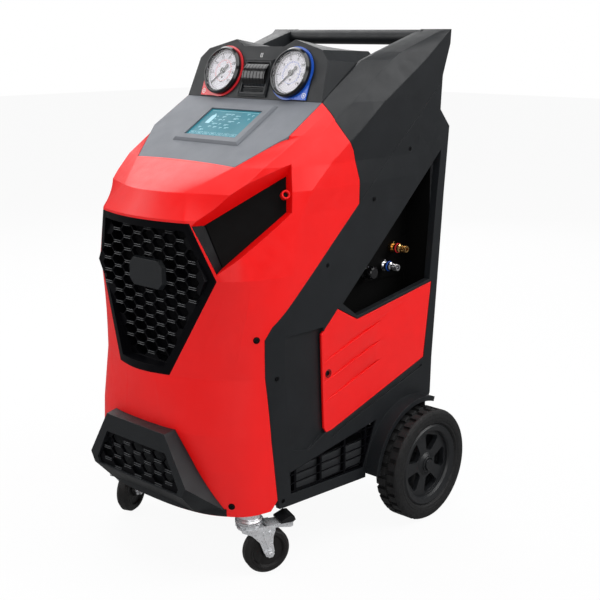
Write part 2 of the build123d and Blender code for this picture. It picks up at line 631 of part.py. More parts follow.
def rear_panel():
    """Folded sheet: upright back with louvre slots, and the sloping deck behind the instruments."""
    half = FRAME_INNER_X - SEAT_GAP
    y0, y1 = REAR_SHEET_Y, REAR_SHEET_Y + REAR_SHEET_T
    low = FLOOR_Z + FLOOR_T + SEAT_GAP
    sheet = prism_y([(-half, low), (half, low), (half, 872), (-half, 872)], y0, y1)
    deck = [(186, 930), (186, 926), (y0, 868), (y1, 868), (y1, 872)]
    sheet += prism_x(deck, -WING_INNER_X + SEAT_GAP, WING_INNER_X - SEAT_GAP)
    for row in range(8):
        sheet -= Pos(0, y0, 300 + row * 22) * Box(220, 20, 8)
    sheet -= Pos(INLET_X, y0, INLET_Z) * Box(30, 20, 28)
    sheet -= Pos(SWITCH_X, y0, INLET_Z) * Box(30, 20, 22)
    return sheet


# Rear wheels
def on_axle(x):
    return Pos(x, AXLE_Y, AXLE_Z) * Rot(0, 90, 0)


def tread_block(side, thickness):
    face = Plane.XZ * Face(Wire.make_polygon([Vector(r, h, 0) for r, h in side], close=True))
    return Pos(0, thickness / 2, 0) * extrude(face, amount=thickness, dir=(0, -1, 0))


def tyre():
    base = WHEEL_R - LUG_H
    w = WHEEL_W
    crown = WHEEL_R - 0.8
    profile = [(RIM_R + 0.1, 6), (RIM_R + 4, 2), (base - 8, 0), (base, 6), (base, w - 12), (crown, w - 10),
               (crown, w - 7), (crown - 2.5, w - 3), (crown - 7, w - 1), (base - 11, w), (RIM_R + 4, w - 2),
               (RIM_R + 0.1, w - 6)]
    ring = revolved(profile)
    lugs = []
    side = [(base - 10, -0.2), (WHEEL_R - 3, 2), (WHEEL_R, 8), (WHEEL_R, w / 2 - 3), (base - 1, w / 2 - 1),
            (base - 12, w / 2 - 1)]
    outer_side = [(base - 10, w - 9), (WHEEL_R, w - 9), (WHEEL_R, w / 2 + 3), (base - 1, w / 2 + 1),
                  (base - 12, w / 2 + 1)]
    thickness = 2 * math.pi * WHEEL_R / LUG_COUNT * 0.6
    lug, other = tread_block(side, thickness), tread_block(outer_side, thickness)
    for i in range(LUG_COUNT):
        turn = 360.0 / LUG_COUNT * i
        lugs.append(Rot(0, 0, turn) * lug)
        lugs.append(Rot(0, 0, turn + 180.0 / LUG_COUNT) * other)
    return on_axle(WHEEL_IN_X) * (ring + lugs)


def rim():
    w = WHEEL_W
    ring = revolved([(RIM_OPEN_R, 14), (RIM_R - 2, 5), (RIM_R, 6), (RIM_R, w - 6), (RIM_R - 4, w - 3),
                     (RIM_OPEN_R + 3, w - 7), (RIM_OPEN_R, w - 12)])
    bore_r = AXLE_R + RUNNING_FIT
    hub = revolved([(bore_r, 1), (HUB_R - 6, 1), (HUB_R, 14), (HUB_R, w - 16), (HUB_R - 7, w - 11),
                    (13, w - 10), (12, w - 5), (0, w - 5), (0, w - 8), (bore_r, w - 8)])
    back = Pos(0, 0, 18) * (Cylinder(RIM_OPEN_R + 4, 4) - Cylinder(HUB_R - 4, 10))
    disc = Pos(0, 0, w - 22) * Cylinder(RIM_OPEN_R + 4, 12)
    disc -= Pos(0, 0, w - 22) * Cylinder(HUB_R - 4, 20)
    hole = make_face(Polyline((31, -9), (66, -27), (66, 27), (31, 9), close=True))
    hole = fillet(hole.vertices(), 6.5)
    cutter = extrude(Pos(0, 0, w - 34) * hole, amount=30)
    for i in range(SPOKES):
        disc -= Rot(0, 0, 360.0 / SPOKES * (i + 0.25)) * cutter
    return on_axle(WHEEL_IN_X) * (ring + disc + back + hub)


def rear_axle():
    end = WHEEL_IN_X + WHEEL_W - 10
    return rod((-end, AXLE_Y, AXLE_Z), (end, AXLE_Y, AXLE_Z), AXLE_R)


# Casters, built at the swivel axis with the wheel trailing along +X, then turned
def on_caster(side):
    sign = 1 if side == "right" else -1
    return Pos(sign * CASTER_X, CASTER_Y, 0) * Rot(0, 0, CASTER_TURN[side])


RACE_TOP = FLOOR_Z - 4


def caster_head(side):
    sign = 1 if side == "right" else -1
    plate = Pos(sign * CASTER_X, CASTER_Y, FLOOR_Z - 2 - SEAT_GAP / 2) * Box(64, 60, 4 - SEAT_GAP)
    plate = plate & body_envelope(COVER_WALL + 2 * SEAT_GAP)
    race = Pos(0, 0, 0) * revolved([(CASTER_PIN_R + RUNNING_FIT, CROWN_Z + 8), (22, CROWN_Z + 8),
                                    (27, CROWN_Z + 12), (27, CROWN_Z + 18), (23, CROWN_Z + 22),
                                    (23, RACE_TOP), (CASTER_PIN_R + RUNNING_FIT, RACE_TOP)])
    return plate + Pos(sign * CASTER_X, CASTER_Y, 0) * race


def caster_fork(side):
    half = CASTER_W / 2 + 3
    crown = Pos(0, 0, CROWN_Z + 1.5) * Cylinder(25, 3)
    race = Pos(0, 0, CROWN_Z + 5) * Cylinder(21, 4.6)
    pin = Pos(0, 0, (CROWN_Z + RACE_TOP) / 2) * Cylinder(CASTER_PIN_R, RACE_TOP - CROWN_Z - 2)
    leg = [(-22, CROWN_Z + 3), (BRAKE_PIVOT_X + 6, CROWN_Z + 3), (BRAKE_PIVOT_X + 6, BRAKE_PIVOT_Z - 7),
           (CASTER_TRAIL + 9, 82), (CASTER_TRAIL + 8, 66), (CASTER_TRAIL + 11, CASTER_R + 2),
           (CASTER_TRAIL + 7, CASTER_R - 9), (CASTER_TRAIL - 6, CASTER_R - 9),
           (CASTER_TRAIL - 12, CASTER_R + 2), (CASTER_TRAIL - 20, 72), (-2, 90), (-22, CROWN_Z - 2)]
    legs = [prism_y(leg, *sorted((s * half, s * (half + FORK_T)))) for s in (1, -1)]
    bridge = Pos(2, 0, CROWN_Z + 1.5) * Box(48, 2 * (half + FORK_T), 3)
    bolt = rod((CASTER_TRAIL, -half - FORK_T - 4, CASTER_R), (CASTER_TRAIL, half + FORK_T + 4, CASTER_R),
               CASTER_AXLE_R)
    heads = [Pos(CASTER_TRAIL, s * (half + FORK_T + 3), CASTER_R) * Rot(90, 0, 0)
             * extrude(RegularPolygon(8.5, 6), amount=4, both=True) for s in (1, -1)]
    reach = half + FORK_T + 0.5
    pivot = rod((BRAKE_PIVOT_X, -reach, BRAKE_PIVOT_Z), (BRAKE_PIVOT_X, reach, BRAKE_PIVOT_Z), BRAKE_PIN_R)
    return on_caster(side) * (crown + race + pin + legs + bridge + bolt + heads + pivot)


def caster_wheel(side):
    w = CASTER_W / 2
    bore = CASTER_AXLE_R + RUNNING_FIT
    profile = [(bore, -w - 2), (12, -w - 2), (14, -w + 5), (31, -w + 5), (34, -w), (CASTER_R - 6, -w),
               (CASTER_R, -w + 7), (CASTER_R, w - 7), (CASTER_R - 6, w), (34, w), (31, w - 5), (14, w - 5),
               (12, w + 2), (bore, w + 2)]
    wheel = Pos(CASTER_TRAIL, 0, CASTER_R) * Rot(90, 0, 0) * revolved(profile)
    return on_caster(side) * wheel


def caster_brake(side):
    """Sheet metal lever behind the fork crown, flat on top where the foot pad sits."""
    px, pz = BRAKE_PIVOT_X, BRAKE_PIVOT_Z
    outline = [(px - 8, pz + 3), (px - 4, BRAKE_TOP_Z), (px + 46, BRAKE_TOP_Z), (px + 46, pz - 5),
               (px + 40, pz - 7), (px + 10, pz - 2), (px + 4, pz - 4), (px - 4, pz - 4), (px - 8, pz - 2)]
    lever = prism_y(outline, -BRAKE_HALF_W, BRAKE_HALF_W)
    lever -= rod((px, -30, pz), (px, 30, pz), BRAKE_PIN_R + RUNNING_FIT)
    return on_caster(side) * lever


BRAKE_TOP_Z = BRAKE_PIVOT_Z + 5.0


def caster_pad(side):
    """Moulded foot pad on the brake lever."""
    px, base = BRAKE_PIVOT_X, BRAKE_TOP_Z + SEAT_GAP
    outline = [(px + 18, base), (px + 45, base), (px + 50, base + 4), (px + 47, base + 12),
               (px + 38, base + 13), (px + 18, base + 4)]
    return on_caster(side) * prism_y(outline, -BRAKE_HALF_W - 4, BRAKE_HALF_W + 4)


# Chassis and the working parts inside
def chassis_base():
    half = FRAME_INNER_X - SEAT_GAP
    plan = [(half, 294), (half, -182), (196, -236), (150, -270), (84, -290)]
    outline = [(x, y) for x, y in plan] + [(-x, y) for x, y in reversed(plan)]
    floor = prism_z(outline, FLOOR_Z, FLOOR_Z + FLOOR_T)
    for sign in (1, -1):
        x0, x1 = sorted((sign * half, sign * (half - 4)))
        floor += block(x0, x1, -182, 90, FLOOR_Z, CHASSIS_WALL_TOP)
        ear_x0, ear_x1 = sorted((sign * 196, sign * 204))
        floor += block(ear_x0, ear_x1, AXLE_Y - 24, AXLE_Y + 24, AXLE_Z - 22, FLOOR_Z + 1)
    shaft = rod((-300, AXLE_Y, AXLE_Z), (300, AXLE_Y, AXLE_Z), AXLE_R + RUNNING_FIT)
    pads = [block(s * CASTER_X - 36, s * CASTER_X + 36, CASTER_Y - 30, CASTER_Y + 38, FLOOR_Z,
                  FLOOR_Z + FLOOR_T) for s in (1, -1)]
    base = floor + pads - shaft
    front = base & body_envelope(COVER_WALL + SEAT_GAP)
    back = base & block(-half, half, -180, 300, 0, 300)
    return front + back


TANK_R, TANK_H, TANK_Y, TANK_WALL = 78.0, 330.0, 120.0, 3.0
CELL_H = 22.0


def load_cell():
    z0 = FLOOR_Z + FLOOR_T + SEAT_GAP
    plate = Pos(0, TANK_Y, z0 + 2) * Cylinder(70, 4)
    beam = Pos(0, TANK_Y, z0 + 11) * Box(110, 26, 14)
    top = Pos(0, TANK_Y, z0 + 20) * Cylinder(80, 4)
    return plate + beam + top


def refrigerant_tank():
    """Standing pressure vessel with a foot ring and a valve boss."""
    z0 = FLOOR_Z + FLOOR_T + 2 * SEAT_GAP + CELL_H
    r, h, t = TANK_R, TANK_H, TANK_WALL
    outer = revolved([(0, 14), (r - 30, 14), (r - 14, 0), (r - 8, 0), (r - 8, 20), (r, 40), (r, h - 40),
                      (r - 12, h - 16), (30, h - 2), (16, h), (16, h + 26), (0, h + 26)])
    inner = revolved([(0, 14 + t), (r - 30, 14 + t), (r - t, 42), (r - t, h - 42), (r - 14, h - 20),
                      (0, h - 2 - t)])
    return Pos(0, TANK_Y, z0) * (outer - inner)


def vacuum_pump():
    z0 = FLOOR_Z + FLOOR_T + SEAT_GAP
    motor = Pos(-138, -70, z0 + 62) * Rot(90, 0, 0) * Cylinder(44, 150)
    head = Pos(-138, -168, z0 + 54) * Box(86, 46, 100)
    feet = block(-172, -104, -140, -5, z0, z0 + 24)
    return motor + head + feet


def compressor():
    z0 = FLOOR_Z + FLOOR_T + SEAT_GAP
    profile = [(0, 0), (46, 0), (58, 12), (58, 110), (44, 136), (16, 144), (0, 144)]
    return Pos(120, -90, z0) * revolved(profile)


CONDENSER_Y = -248.0


def condenser():
    core = block(-118, 118, CONDENSER_Y, CONDENSER_Y + 26, 440, 690)
    tanks = block(-126, -118, CONDENSER_Y - 2, CONDENSER_Y + 28, 436, 694)
    tanks += block(118, 126, CONDENSER_Y - 2, CONDENSER_Y + 28, 436, 694)
    return core + tanks


FAN_R, FAN_Z, SHROUD_HALF = 96.0, 566.0, 121.0


def fan_shroud():
    y0 = CONDENSER_Y + 28 + SEAT_GAP
    body = block(-SHROUD_HALF, SHROUD_HALF, y0, y0 + 38, 450, 682)
    for sign in (1, -1):
        x0, x1 = sorted((sign * SHROUD_HALF, sign * (SHROUD_HALF - 14)))
        body += block(x0, x1, y0, y0 + 24, FLOOR_Z + FLOOR_T + SEAT_GAP, 460)
    body -= Pos(0, y0 + 19, FAN_Z) * Rot(90, 0, 0) * Cylinder(FAN_R + 5, 60)
    arms = block(-110, 110, y0 + 32, y0 + 38, FAN_Z - 5, FAN_Z + 5)
    arms += block(-5, 5, y0 + 32, y0 + 38, FAN_Z - 110, FAN_Z + 110)
    motor = Pos(0, y0 + 41, FAN_Z) * Rot(90, 0, 0) * Cylinder(26, 18)
    shaft = rod((0, y0 + 34, FAN_Z), (0, y0 + 8, FAN_Z), 4)
    return body + arms + motor + shaft


def fan_rotor():
    y0 = CONDENSER_Y + 28 + SEAT_GAP
    hub = Pos(0, y0 + 18, FAN_Z) * Rot(90, 0, 0) * Cylinder(24, 20)
    blades = []
    for i in range(6):
        blade = Pos(58, 0, 0) * Rot(28, 0, 0) * Box(76, 34, 2.4)
        blades.append(Rot(0, 0, 60 * i) * blade)
    fan = Pos(0, y0 + 18, FAN_Z) * Rot(90, 0, 0) * Compound(blades)
    bore = rod((0, y0 - 20, FAN_Z), (0, y0 + 60, FAN_Z), 4 + RUNNING_FIT)
    return hub + fan - bore


def control_board():
    """Board hung under the console on four standoffs, with two tall parts below it."""
    mid = (SCREEN_S0 + SCREEN_S1) / 2
    post_x, post_s = SCREEN_HALF_W + 11, (SCREEN_S1 - SCREEN_S0) / 2
    board = Pos(0, mid, -25) * Box(2 * post_x + 14, 2 * post_s + 14, 2)
    length = 24 - COVER_WALL - SEAT_GAP
    posts = [Pos(sx * post_x, mid + ss * post_s, -24 + length / 2) * Cylinder(4, length)
             for sx in (1, -1) for ss in (1, -1)]
    parts = [Pos(-40, mid, -34) * Box(46, 60, 16), Pos(34, mid, -31) * Box(60, 34, 10)]
    return CONSOLE * (board + posts + parts)


def manifold_block():
    x1 = POCKET_INNER_X - POCKET_WALL - SEAT_GAP
    body = block(x1 - 46, x1, 190, 270, 540, 630)
    for z in (556, 584, 612):
        body += Pos(x1 - 60, 230, z) * Rot(0, 90, 0) * Cylinder(11, 30)
    return body


def power_inlet():
    y1 = REAR_SHEET_Y + REAR_SHEET_T + SEAT_GAP
    flange = Pos(INLET_X, y1 + 1.5, INLET_Z) * Box(48, 3, 42)
    cup = Pos(INLET_X, y1 - 8, INLET_Z) * Box(28, 22, 26)
    well = Pos(INLET_X, y1 + 2, INLET_Z) * Box(23, 24, 20)
    pins = [Pos(INLET_X + dx, y1 - 4, INLET_Z + dz) * Box(2, 12, 4)
            for dx, dz in ((-7, -2), (0, 3), (7, -2))]
    frame = Pos(SWITCH_X, y1 + 1, INLET_Z) * Box(36, 2, 28)
    frame += Pos(SWITCH_X, y1 - 6, INLET_Z) * Box(28, 16, 20)
    frame -= Pos(SWITCH_X, y1, INLET_Z) * Box(24, 18, 16)
    frame -= Pos(SWITCH_X, y1, INLET_Z) * Cylinder(ROCKER_PIN_R + RUNNING_FIT, 24)
    left_x, right_x = INLET_X + 23, SWITCH_X - 17
    bridge = Pos((left_x + right_x) / 2, y1 + 1, INLET_Z) * Box(right_x - left_x, 2, 10)
    return flange + cup - well + pins + frame + bridge


def power_switch():
    """Rocker that turns about its middle, one end pressed in at rest."""
    y1 = REAR_SHEET_Y + REAR_SHEET_T + SEAT_GAP
    face = [(-10.5, 5), (0, 2.5), (10.5, 5), (8, -4), (-8, -4)]
    rocker = prism_z(face, -7, 7) + Cylinder(ROCKER_PIN_R, 19)
    return Pos(SWITCH_X, y1, INLET_Z) * Rot(0, 0, ROCKER_TILT) * rocker


# Build and write every node
def pair(shape, name):
    save(shape, f"{name}_right")
    save(mirror_x(shape), f"{name}_left")


save(front_cover(), "front_cover")
save(console_panel(), "console_panel")
save(screen_bezel(), "screen_bezel")
save(touchscreen(), "touchscreen")
save(front_grille(), "front_grille")
save(badge_plate(), "badge_plate")
save(bumper(), "bumper")
save(bumper_grille(), "bumper_grille")
pair(slot_back(), "slot_back")
pair(side_wing(), "side_wing")
pair(side_frame(), "side_frame")
pair(side_panel(), "side_panel")
pair(side_louvre(), "side_louvre")
save(port_pocket(), "hose_pocket_right")
save(mirror_x(hose_pocket()), "hose_pocket_left")
save(service_port(PORT_Y, PORT_HIGH_Z), "service_port_high")
save(service_port(PORT_LOW_Y, PORT_LOW_Z), "service_port_low")
save(instrument_panel(), "instrument_housing")
for name, sign in (("high", -1), ("low", 1)):
    save(gauge_case(sign), f"gauge_case_{name}")
    save(gauge_dial(sign), f"gauge_dial_{name}")
    save(gauge_lens(sign), f"gauge_lens_{name}")
    save(gauge_needle(sign), f"gauge_needle_{name}")
    save(gauge_flag(sign), f"gauge_flag_{name}")
save(printer_frame(), "printer_frame")
save(printer_cover(), "printer_cover")
save(handle_bar(), "handle_bar")
save(rear_panel(), "rear_panel")
save(power_inlet(), "power_inlet")
save(power_switch(), "power_switch")
pair(tyre(), "tyre")
pair(rim(), "rim")
save(rear_axle(), "rear_axle")
for side in ("right", "left"):
    save(caster_head(side), f"caster_head_{side}")
    save(caster_fork(side), f"caster_fork_{side}")
    save(caster_wheel(side), f"caster_wheel_{side}")
    save(caster_brake(side), f"caster_brake_{side}")
    save(caster_pad(side), f"caster_pad_{side}")
save(chassis_base(), "chassis_base")
save(load_cell(), "load_cell")
save(refrigerant_tank(), "refrigerant_tank")
save(vacuum_pump(), "vacuum_pump")
save(compressor(), "compressor")
save(condenser(), "condenser")
save(fan_shroud(), "fan_shroud")
save(fan_rotor(), "fan_rotor")
save(control_board(), "control_board")
save(manifold_block(), "manifold_block")
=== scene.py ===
"""Looks of a mobile air conditioning recharge station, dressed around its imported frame.

The frame's own axes hold: +Z up, -Y towards the front, origin on the floor. Blender counts in metres, and
the sizes of the pieces are written in millimetres.
"""

from __future__ import annotations

import logging
import math
from dataclasses import dataclass, field
from enum import Enum
from functools import cache
from typing import Callable, Iterable, Sequence

import bmesh
import bpy
from mathutils import Matrix, Vector


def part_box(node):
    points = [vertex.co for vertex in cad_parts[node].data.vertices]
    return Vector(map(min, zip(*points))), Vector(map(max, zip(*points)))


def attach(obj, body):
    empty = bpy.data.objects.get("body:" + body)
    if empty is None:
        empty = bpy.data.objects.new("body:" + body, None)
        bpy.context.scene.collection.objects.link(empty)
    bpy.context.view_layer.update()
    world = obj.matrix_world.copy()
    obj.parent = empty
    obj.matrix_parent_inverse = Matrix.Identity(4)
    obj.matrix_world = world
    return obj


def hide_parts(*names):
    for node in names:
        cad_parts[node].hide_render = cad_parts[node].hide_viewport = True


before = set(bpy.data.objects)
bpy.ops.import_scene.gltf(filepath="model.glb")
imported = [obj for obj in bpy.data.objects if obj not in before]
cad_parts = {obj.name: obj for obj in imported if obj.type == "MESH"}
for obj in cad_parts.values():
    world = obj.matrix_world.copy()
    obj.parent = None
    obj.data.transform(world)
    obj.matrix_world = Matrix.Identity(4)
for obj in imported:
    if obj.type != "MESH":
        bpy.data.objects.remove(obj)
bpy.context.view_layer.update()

MM = 0.001
LOG = logging.getLogger("recharge_station")

Point = Sequence[float]
Pair = tuple[float, float]
Trio = tuple[float, float, float]
Quad = tuple[float, float, float, float]
Piece = bpy.types.Object
Socket = bpy.types.NodeSocket
Test = Callable[[Vector, Vector], bool]


class Axis(Enum):
    """Axes that a piece is turned about."""

    X = Vector((1, 0, 0))
    Z = Vector((0, 0, 1))


class Side(Enum):
    """The two sides of the machine, with the sign of their X."""

    RIGHT = 1
    LEFT = -1

    @property
    def word(self) -> str:
        """The side's name as the frame's nodes spell it."""
        return self.name.lower()


# Finishes


def add_node(tree: bpy.types.NodeTree, kind: str, values: dict[str | int, object] | None = None,
             **settings: object) -> bpy.types.Node:
    """Add a node to a tree.

    Args:
        tree: the tree.
        kind: the node's type name.
        values: what its input sockets hold.
        settings: attributes of the node, set by name.

    Returns:
        The new node.
    """
    node = tree.nodes.new(kind)
    for key, value in settings.items():
        setattr(node, key, value)
    for key, value in (values or {}).items():
        node.inputs[key].default_value = value
    return node


def choose(tree: bpy.types.NodeTree, factor: Socket, plain: Socket, special: Socket) -> Socket:
    """Pick the special light or surface where the factor is one, else the plain one."""
    mix = add_node(tree, "ShaderNodeMixShader")
    for socket, source in zip(mix.inputs, (factor, plain, special)):
        tree.links.new(source, socket)
    return mix.outputs[0]


class Shader:
    """A small builder for one material's node tree."""

    def __init__(self, name: str) -> None:
        """Start a tree with a principled shader.

        Args:
            name: the material's name.
        """
        self.material = bpy.data.materials.new(name)
        self.material.use_nodes = True
        self.tree = self.material.node_tree
        self.surface = self.tree.nodes["Principled BSDF"]
        self.coords = add_node(self.tree, "ShaderNodeTexCoord").outputs["Object"]

    def put(self, socket: str, value: object) -> None:
        """Set one of the surface's own sockets."""
        self.surface.inputs[socket].default_value = value

    def join(self, source: Socket, target: Socket | str) -> None:
        """Link a socket to another, or to the surface's input of that name."""
        if isinstance(target, str):
            target = self.surface.inputs[target]
        self.tree.links.new(source, target)

    def noise(self, size: float, detail: float = 2.0) -> Socket:
        """Noise whose grains are about the given size.

        Args:
            size: grain size in metres.
            detail: how many finer layers it has.

        Returns:
            The factor socket.
        """
        node = add_node(self.tree, "ShaderNodeTexNoise", {"Scale": 1.0 / size, "Detail": detail})
        self.join(self.coords, node.inputs["Vector"])
        return node.outputs["Fac"]

    def spread(self, source: Socket, low: float, high: float) -> Socket:
        """Map noise to a range.

        Args:
            source: the factor socket.
            low: value at the dark end.
            high: value at the light end.

        Returns:
            The mapped socket.
        """
        node = add_node(self.tree, "ShaderNodeMapRange",
                        {"From Min": 0.3, "From Max": 0.7, "To Min": low, "To Max": high})
        self.join(source, node.inputs["Value"])
        return node.outputs["Result"]

    def blend(self, factor: Socket, dark: Point, light: Point) -> Socket:
        """Mix two colours by a factor.

        Args:
            factor: the factor socket.
            dark: colour at zero.
            light: colour at one.

        Returns:
            The colour socket.
        """
        node = add_node(self.tree, "ShaderNodeMix", {6: (*dark, 1.0), 7: (*light, 1.0)}, data_type="RGBA")
        self.join(factor, node.inputs[0])
        return node.outputs[2]

    def bump(self, height: Socket, depth: float, edge: float = 0.0) -> None:
        """Drive the surface normal from a height, over softened edges.

        Args:
            height: the height socket, zero to one.
            depth: depth of the relief in metres.
            edge: radius in metres by which edges are softened.
        """
        node = add_node(self.tree, "ShaderNodeBump", {"Distance": depth})
        self.join(height, node.inputs["Height"])
        if edge:
            soft = add_node(self.tree, "ShaderNodeBevel", {"Radius": edge}, samples=6)
            self.join(soft.outputs["Normal"], node.inputs["Normal"])
        self.join(node.outputs["Normal"], "Normal")

    def vary(self, colour: Point, share: float, size: float, detail: float = 3.0) -> Socket:
        """Colour the surface with a slight, wide variation.

        Args:
            colour: the mean colour.
            share: how far the colour strays from its mean.
            size: size of the patches in metres.
            detail: how many finer layers they have.

        Returns:
            The colour socket.
        """
        dark = [c * (1 - share) for c in colour]
        light = [min(1.0, c * (1 + share)) for c in colour]
        mixed = self.blend(self.spread(self.noise(size, detail), 0.0, 1.0), dark, light)
        self.join(mixed, "Base Color")
        return mixed

    def roughen(self, low: float, high: float, size: float, detail: float = 2.0) -> None:
        """Let the roughness wander between two values.

        Args:
            low: the smooth end.
            high: the rough end.
            size: size of the patches in metres.
            detail: how many finer layers they have.
        """
        self.join(self.spread(self.noise(size, detail), low, high), "Roughness")


@dataclass(frozen=True)
class MouldedPlastic:
    """Injection moulded plastic with a fine spark grain and softened edges."""

    name: str
    colour: Trio
    roughness: float = 0.42
    grain: float = 1.1 * MM
    depth: float = 0.10 * MM
    edge: float = 0.8 * MM
    tint: float = 0.05
    specular: float = 0.5

    def material(self) -> bpy.types.Material:
        """Build the node material."""
        shader = Shader(self.name)
        shader.vary(self.colour, self.tint, 60 * MM)
        shader.put("Specular IOR Level", self.specular)
        shader.roughen(self.roughness - 0.04, self.roughness + 0.05, 25 * MM)
        shader.bump(shader.noise(self.grain, 3.0), self.depth, self.edge)
        return shader.material


@dataclass(frozen=True)
class Metal:
    """Metal with a fine tooth, and a gloss that varies a little."""

    name: str
    colour: Trio
    roughness: float = 0.28
    metallic: float = 1.0

    def material(self) -> bpy.types.Material:
        """Build the node material."""
        shader = Shader(self.name)
        shader.put("Metallic", self.metallic)
        shader.vary(self.colour, 0.08, 9 * MM)
        shader.roughen(self.roughness - 0.06, self.roughness + 0.1, 4 * MM, 3.0)
        shader.bump(shader.noise(0.9 * MM), 0.03 * MM, 0.5 * MM)
        return shader.material


@dataclass(frozen=True)
class Rubber:
    """Dull tread rubber with a bloom of dust."""

    name: str
    colour: Trio
    roughness: float = 0.75

    def material(self) -> bpy.types.Material:
        """Build the node material."""
        shader = Shader(self.name)
        shader.vary(self.colour, 0.25, 14 * MM)
        shader.roughen(self.roughness - 0.12, self.roughness + 0.1, 6 * MM, 4.0)
        shader.bump(shader.noise(0.7 * MM, 4.0), 0.12 * MM, 0.7 * MM)
        return shader.material


@dataclass(frozen=True)
class ClearGlass:
    """Clear lens with a clean gloss."""

    name: str

    def material(self) -> bpy.types.Material:
        """Build the node material."""
        shader = Shader(self.name)
        shader.put("Base Color", (1.0, 1.0, 1.0, 1.0))
        shader.put("Transmission Weight", 1.0)
        shader.put("IOR", 1.25)
        shader.roughen(0.01, 0.04, 12 * MM)
        return shader.material


@dataclass(frozen=True)
class LitScreen:
    """Display glass that glows evenly in its own colour."""

    name: str
    colour: Trio
    glow: float = 0.6

    def material(self) -> bpy.types.Material:
        """Build the node material."""
        shader = Shader(self.name)
        shader.join(shader.vary(self.colour, 0.08, 55 * MM, 1.0), "Emission Color")
        shader.put("Emission Strength", self.glow)
        shader.put("Specular IOR Level", 0.15)
        shader.roughen(0.35, 0.45, 30 * MM)
        return shader.material


def printed(name: str, colour: Trio, roughness: float = 0.6, tint: float = 0.05) -> MouldedPlastic:
    """Print or thin trim with no grain and no softened edges."""
    return MouldedPlastic(name, colour, roughness, depth=0.0, edge=0.0, tint=tint)


Finish = MouldedPlastic | Metal | Rubber | ClearGlass | LitScreen

RED_COVER = MouldedPlastic("red_cover", (0.80, 0.002, 0.002), 0.40, edge=1.1 * MM, tint=0.02, specular=0.36)
BLACK_COVER = MouldedPlastic("black_cover", (0.0095, 0.0110, 0.0130), 0.46, 1.4 * MM, 0.20 * MM, 1.2 * MM,
                             0.10, 0.36)
# Near-zero black of the inner parts, the pockets, the slot backs and the cup collars: their own black
# plastic, darkened further as painted shade of the recesses.
INNER_BLACK_AND_SHADE = MouldedPlastic("inner_black_and_painted_shade", (0.002, 0.002, 0.002), 0.7, specular=0.10)
MESH_BLACK = MouldedPlastic("mesh_black", (0.002, 0.002, 0.003), 0.40, edge=0.6 * MM, specular=0.09)
# Lighter grey of the mesh lines: painted highlight on the level walls' edges, a lit copy of the mesh black.
MESH_HIGHLIGHT_GREY = printed("mesh_painted_highlight", (0.050, 0.052, 0.056), 0.30)
CONSOLE_GREY = MouldedPlastic("console_grey", (0.150, 0.160, 0.180), 0.50, depth=0.06 * MM, edge=0.7 * MM,
                              specular=0.25)
GLOSS_BLACK = MouldedPlastic("gloss_black", (0.008, 0.008, 0.009), 0.14, depth=0.01 * MM, edge=0.7 * MM)
DIAL_PAPER = printed("dial_paper", (0.62, 0.60, 0.65), 0.5, 0.02)
DIAL_INK = printed("dial_ink", (0.012, 0.012, 0.016))
DIAL_RED = printed("dial_red", (0.62, 0.10, 0.12))
DIAL_BLUE = printed("dial_blue", (0.10, 0.16, 0.50))
FLAG_RED = MouldedPlastic("flag_red", (0.78, 0.030, 0.040), 0.25, edge=0.4 * MM)
FLAG_BLUE = MouldedPlastic("flag_blue", (0.015, 0.10, 0.55), 0.25, edge=0.4 * MM)
SIGN_WHITE = printed("sign_white", (0.80, 0.80, 0.80), 0.4)
RIM_PLASTIC = MouldedPlastic("rim_plastic", (0.009, 0.010, 0.0115), depth=0.08 * MM, edge=1.0 * MM)
RUBBER = Rubber("tread_rubber", (0.0055, 0.0055, 0.006))
CASTER_RUBBER = Rubber("caster_rubber", (0.008, 0.007, 0.007), 0.5)
ZINC = Metal("zinc_plate", (0.74, 0.75, 0.77), 0.30, 0.55)
STEEL = MouldedPlastic("powder_coat", (0.035, 0.037, 0.040), 0.5, 0.6 * MM)
DARK_STEEL = Metal("dark_screw", (0.02, 0.02, 0.022), 0.45)
BRASS = Metal("brass", (0.72, 0.44, 0.16), 0.2)
CHROME = Metal("chrome", (0.80, 0.80, 0.82), 0.1)
ALUMINIUM = Metal("aluminium", (0.62, 0.63, 0.65), 0.35)
BOARD_GREEN = MouldedPlastic("board_green", (0.010, 0.13, 0.045), 0.35)
TANK_PAINT = MouldedPlastic("tank_paint", (0.35, 0.37, 0.40), 0.3)
SCREEN = LitScreen("screen_teal", (0.008, 0.110, 0.145))
SCREEN_MARK = LitScreen("screen_mark", (0.22, 0.40, 0.46))
LENS = ClearGlass("lens")


@cache
def material_of(finish: Finish) -> bpy.types.Material:
    """A finish's material, built once."""
    return finish.material()


# Bench tools


def only(obj: Piece) -> None:
    """Deselect everything, then select and activate one object."""
    bpy.ops.object.select_all(action="DESELECT")
    obj.select_set(True)
    bpy.context.view_layer.objects.active = obj


def begin(add: Callable[..., set[str]], **settings: object) -> Piece:
    """Deselect everything, then add a primitive.

    Args:
        add: the operator that adds it.
        settings: the operator's settings.

    Returns:
        The new piece.
    """
    bpy.ops.object.select_all(action="DESELECT")
    add(**settings)
    return bpy.context.active_object


def edit(obj: Piece, kind: str = "FACE", action: str = "DESELECT") -> None:
    """Enter edit mode.

    Args:
        obj: the object to edit.
        kind: what is selected there, FACE, EDGE or VERT.
        action: DESELECT to start with nothing selected, SELECT with everything.
    """
    only(obj)
    bpy.ops.object.mode_set(mode="EDIT")
    bpy.ops.mesh.select_mode(type=kind)
    bpy.ops.mesh.select_all(action=action)


def done() -> None:
    """Leave edit mode."""
    bpy.ops.object.mode_set(mode="OBJECT")


def pull(move: Point) -> None:
    """Extrude what is selected, by a move in metres."""
    bpy.ops.mesh.extrude_region_move(TRANSFORM_OT_translate={"value": tuple(move)})


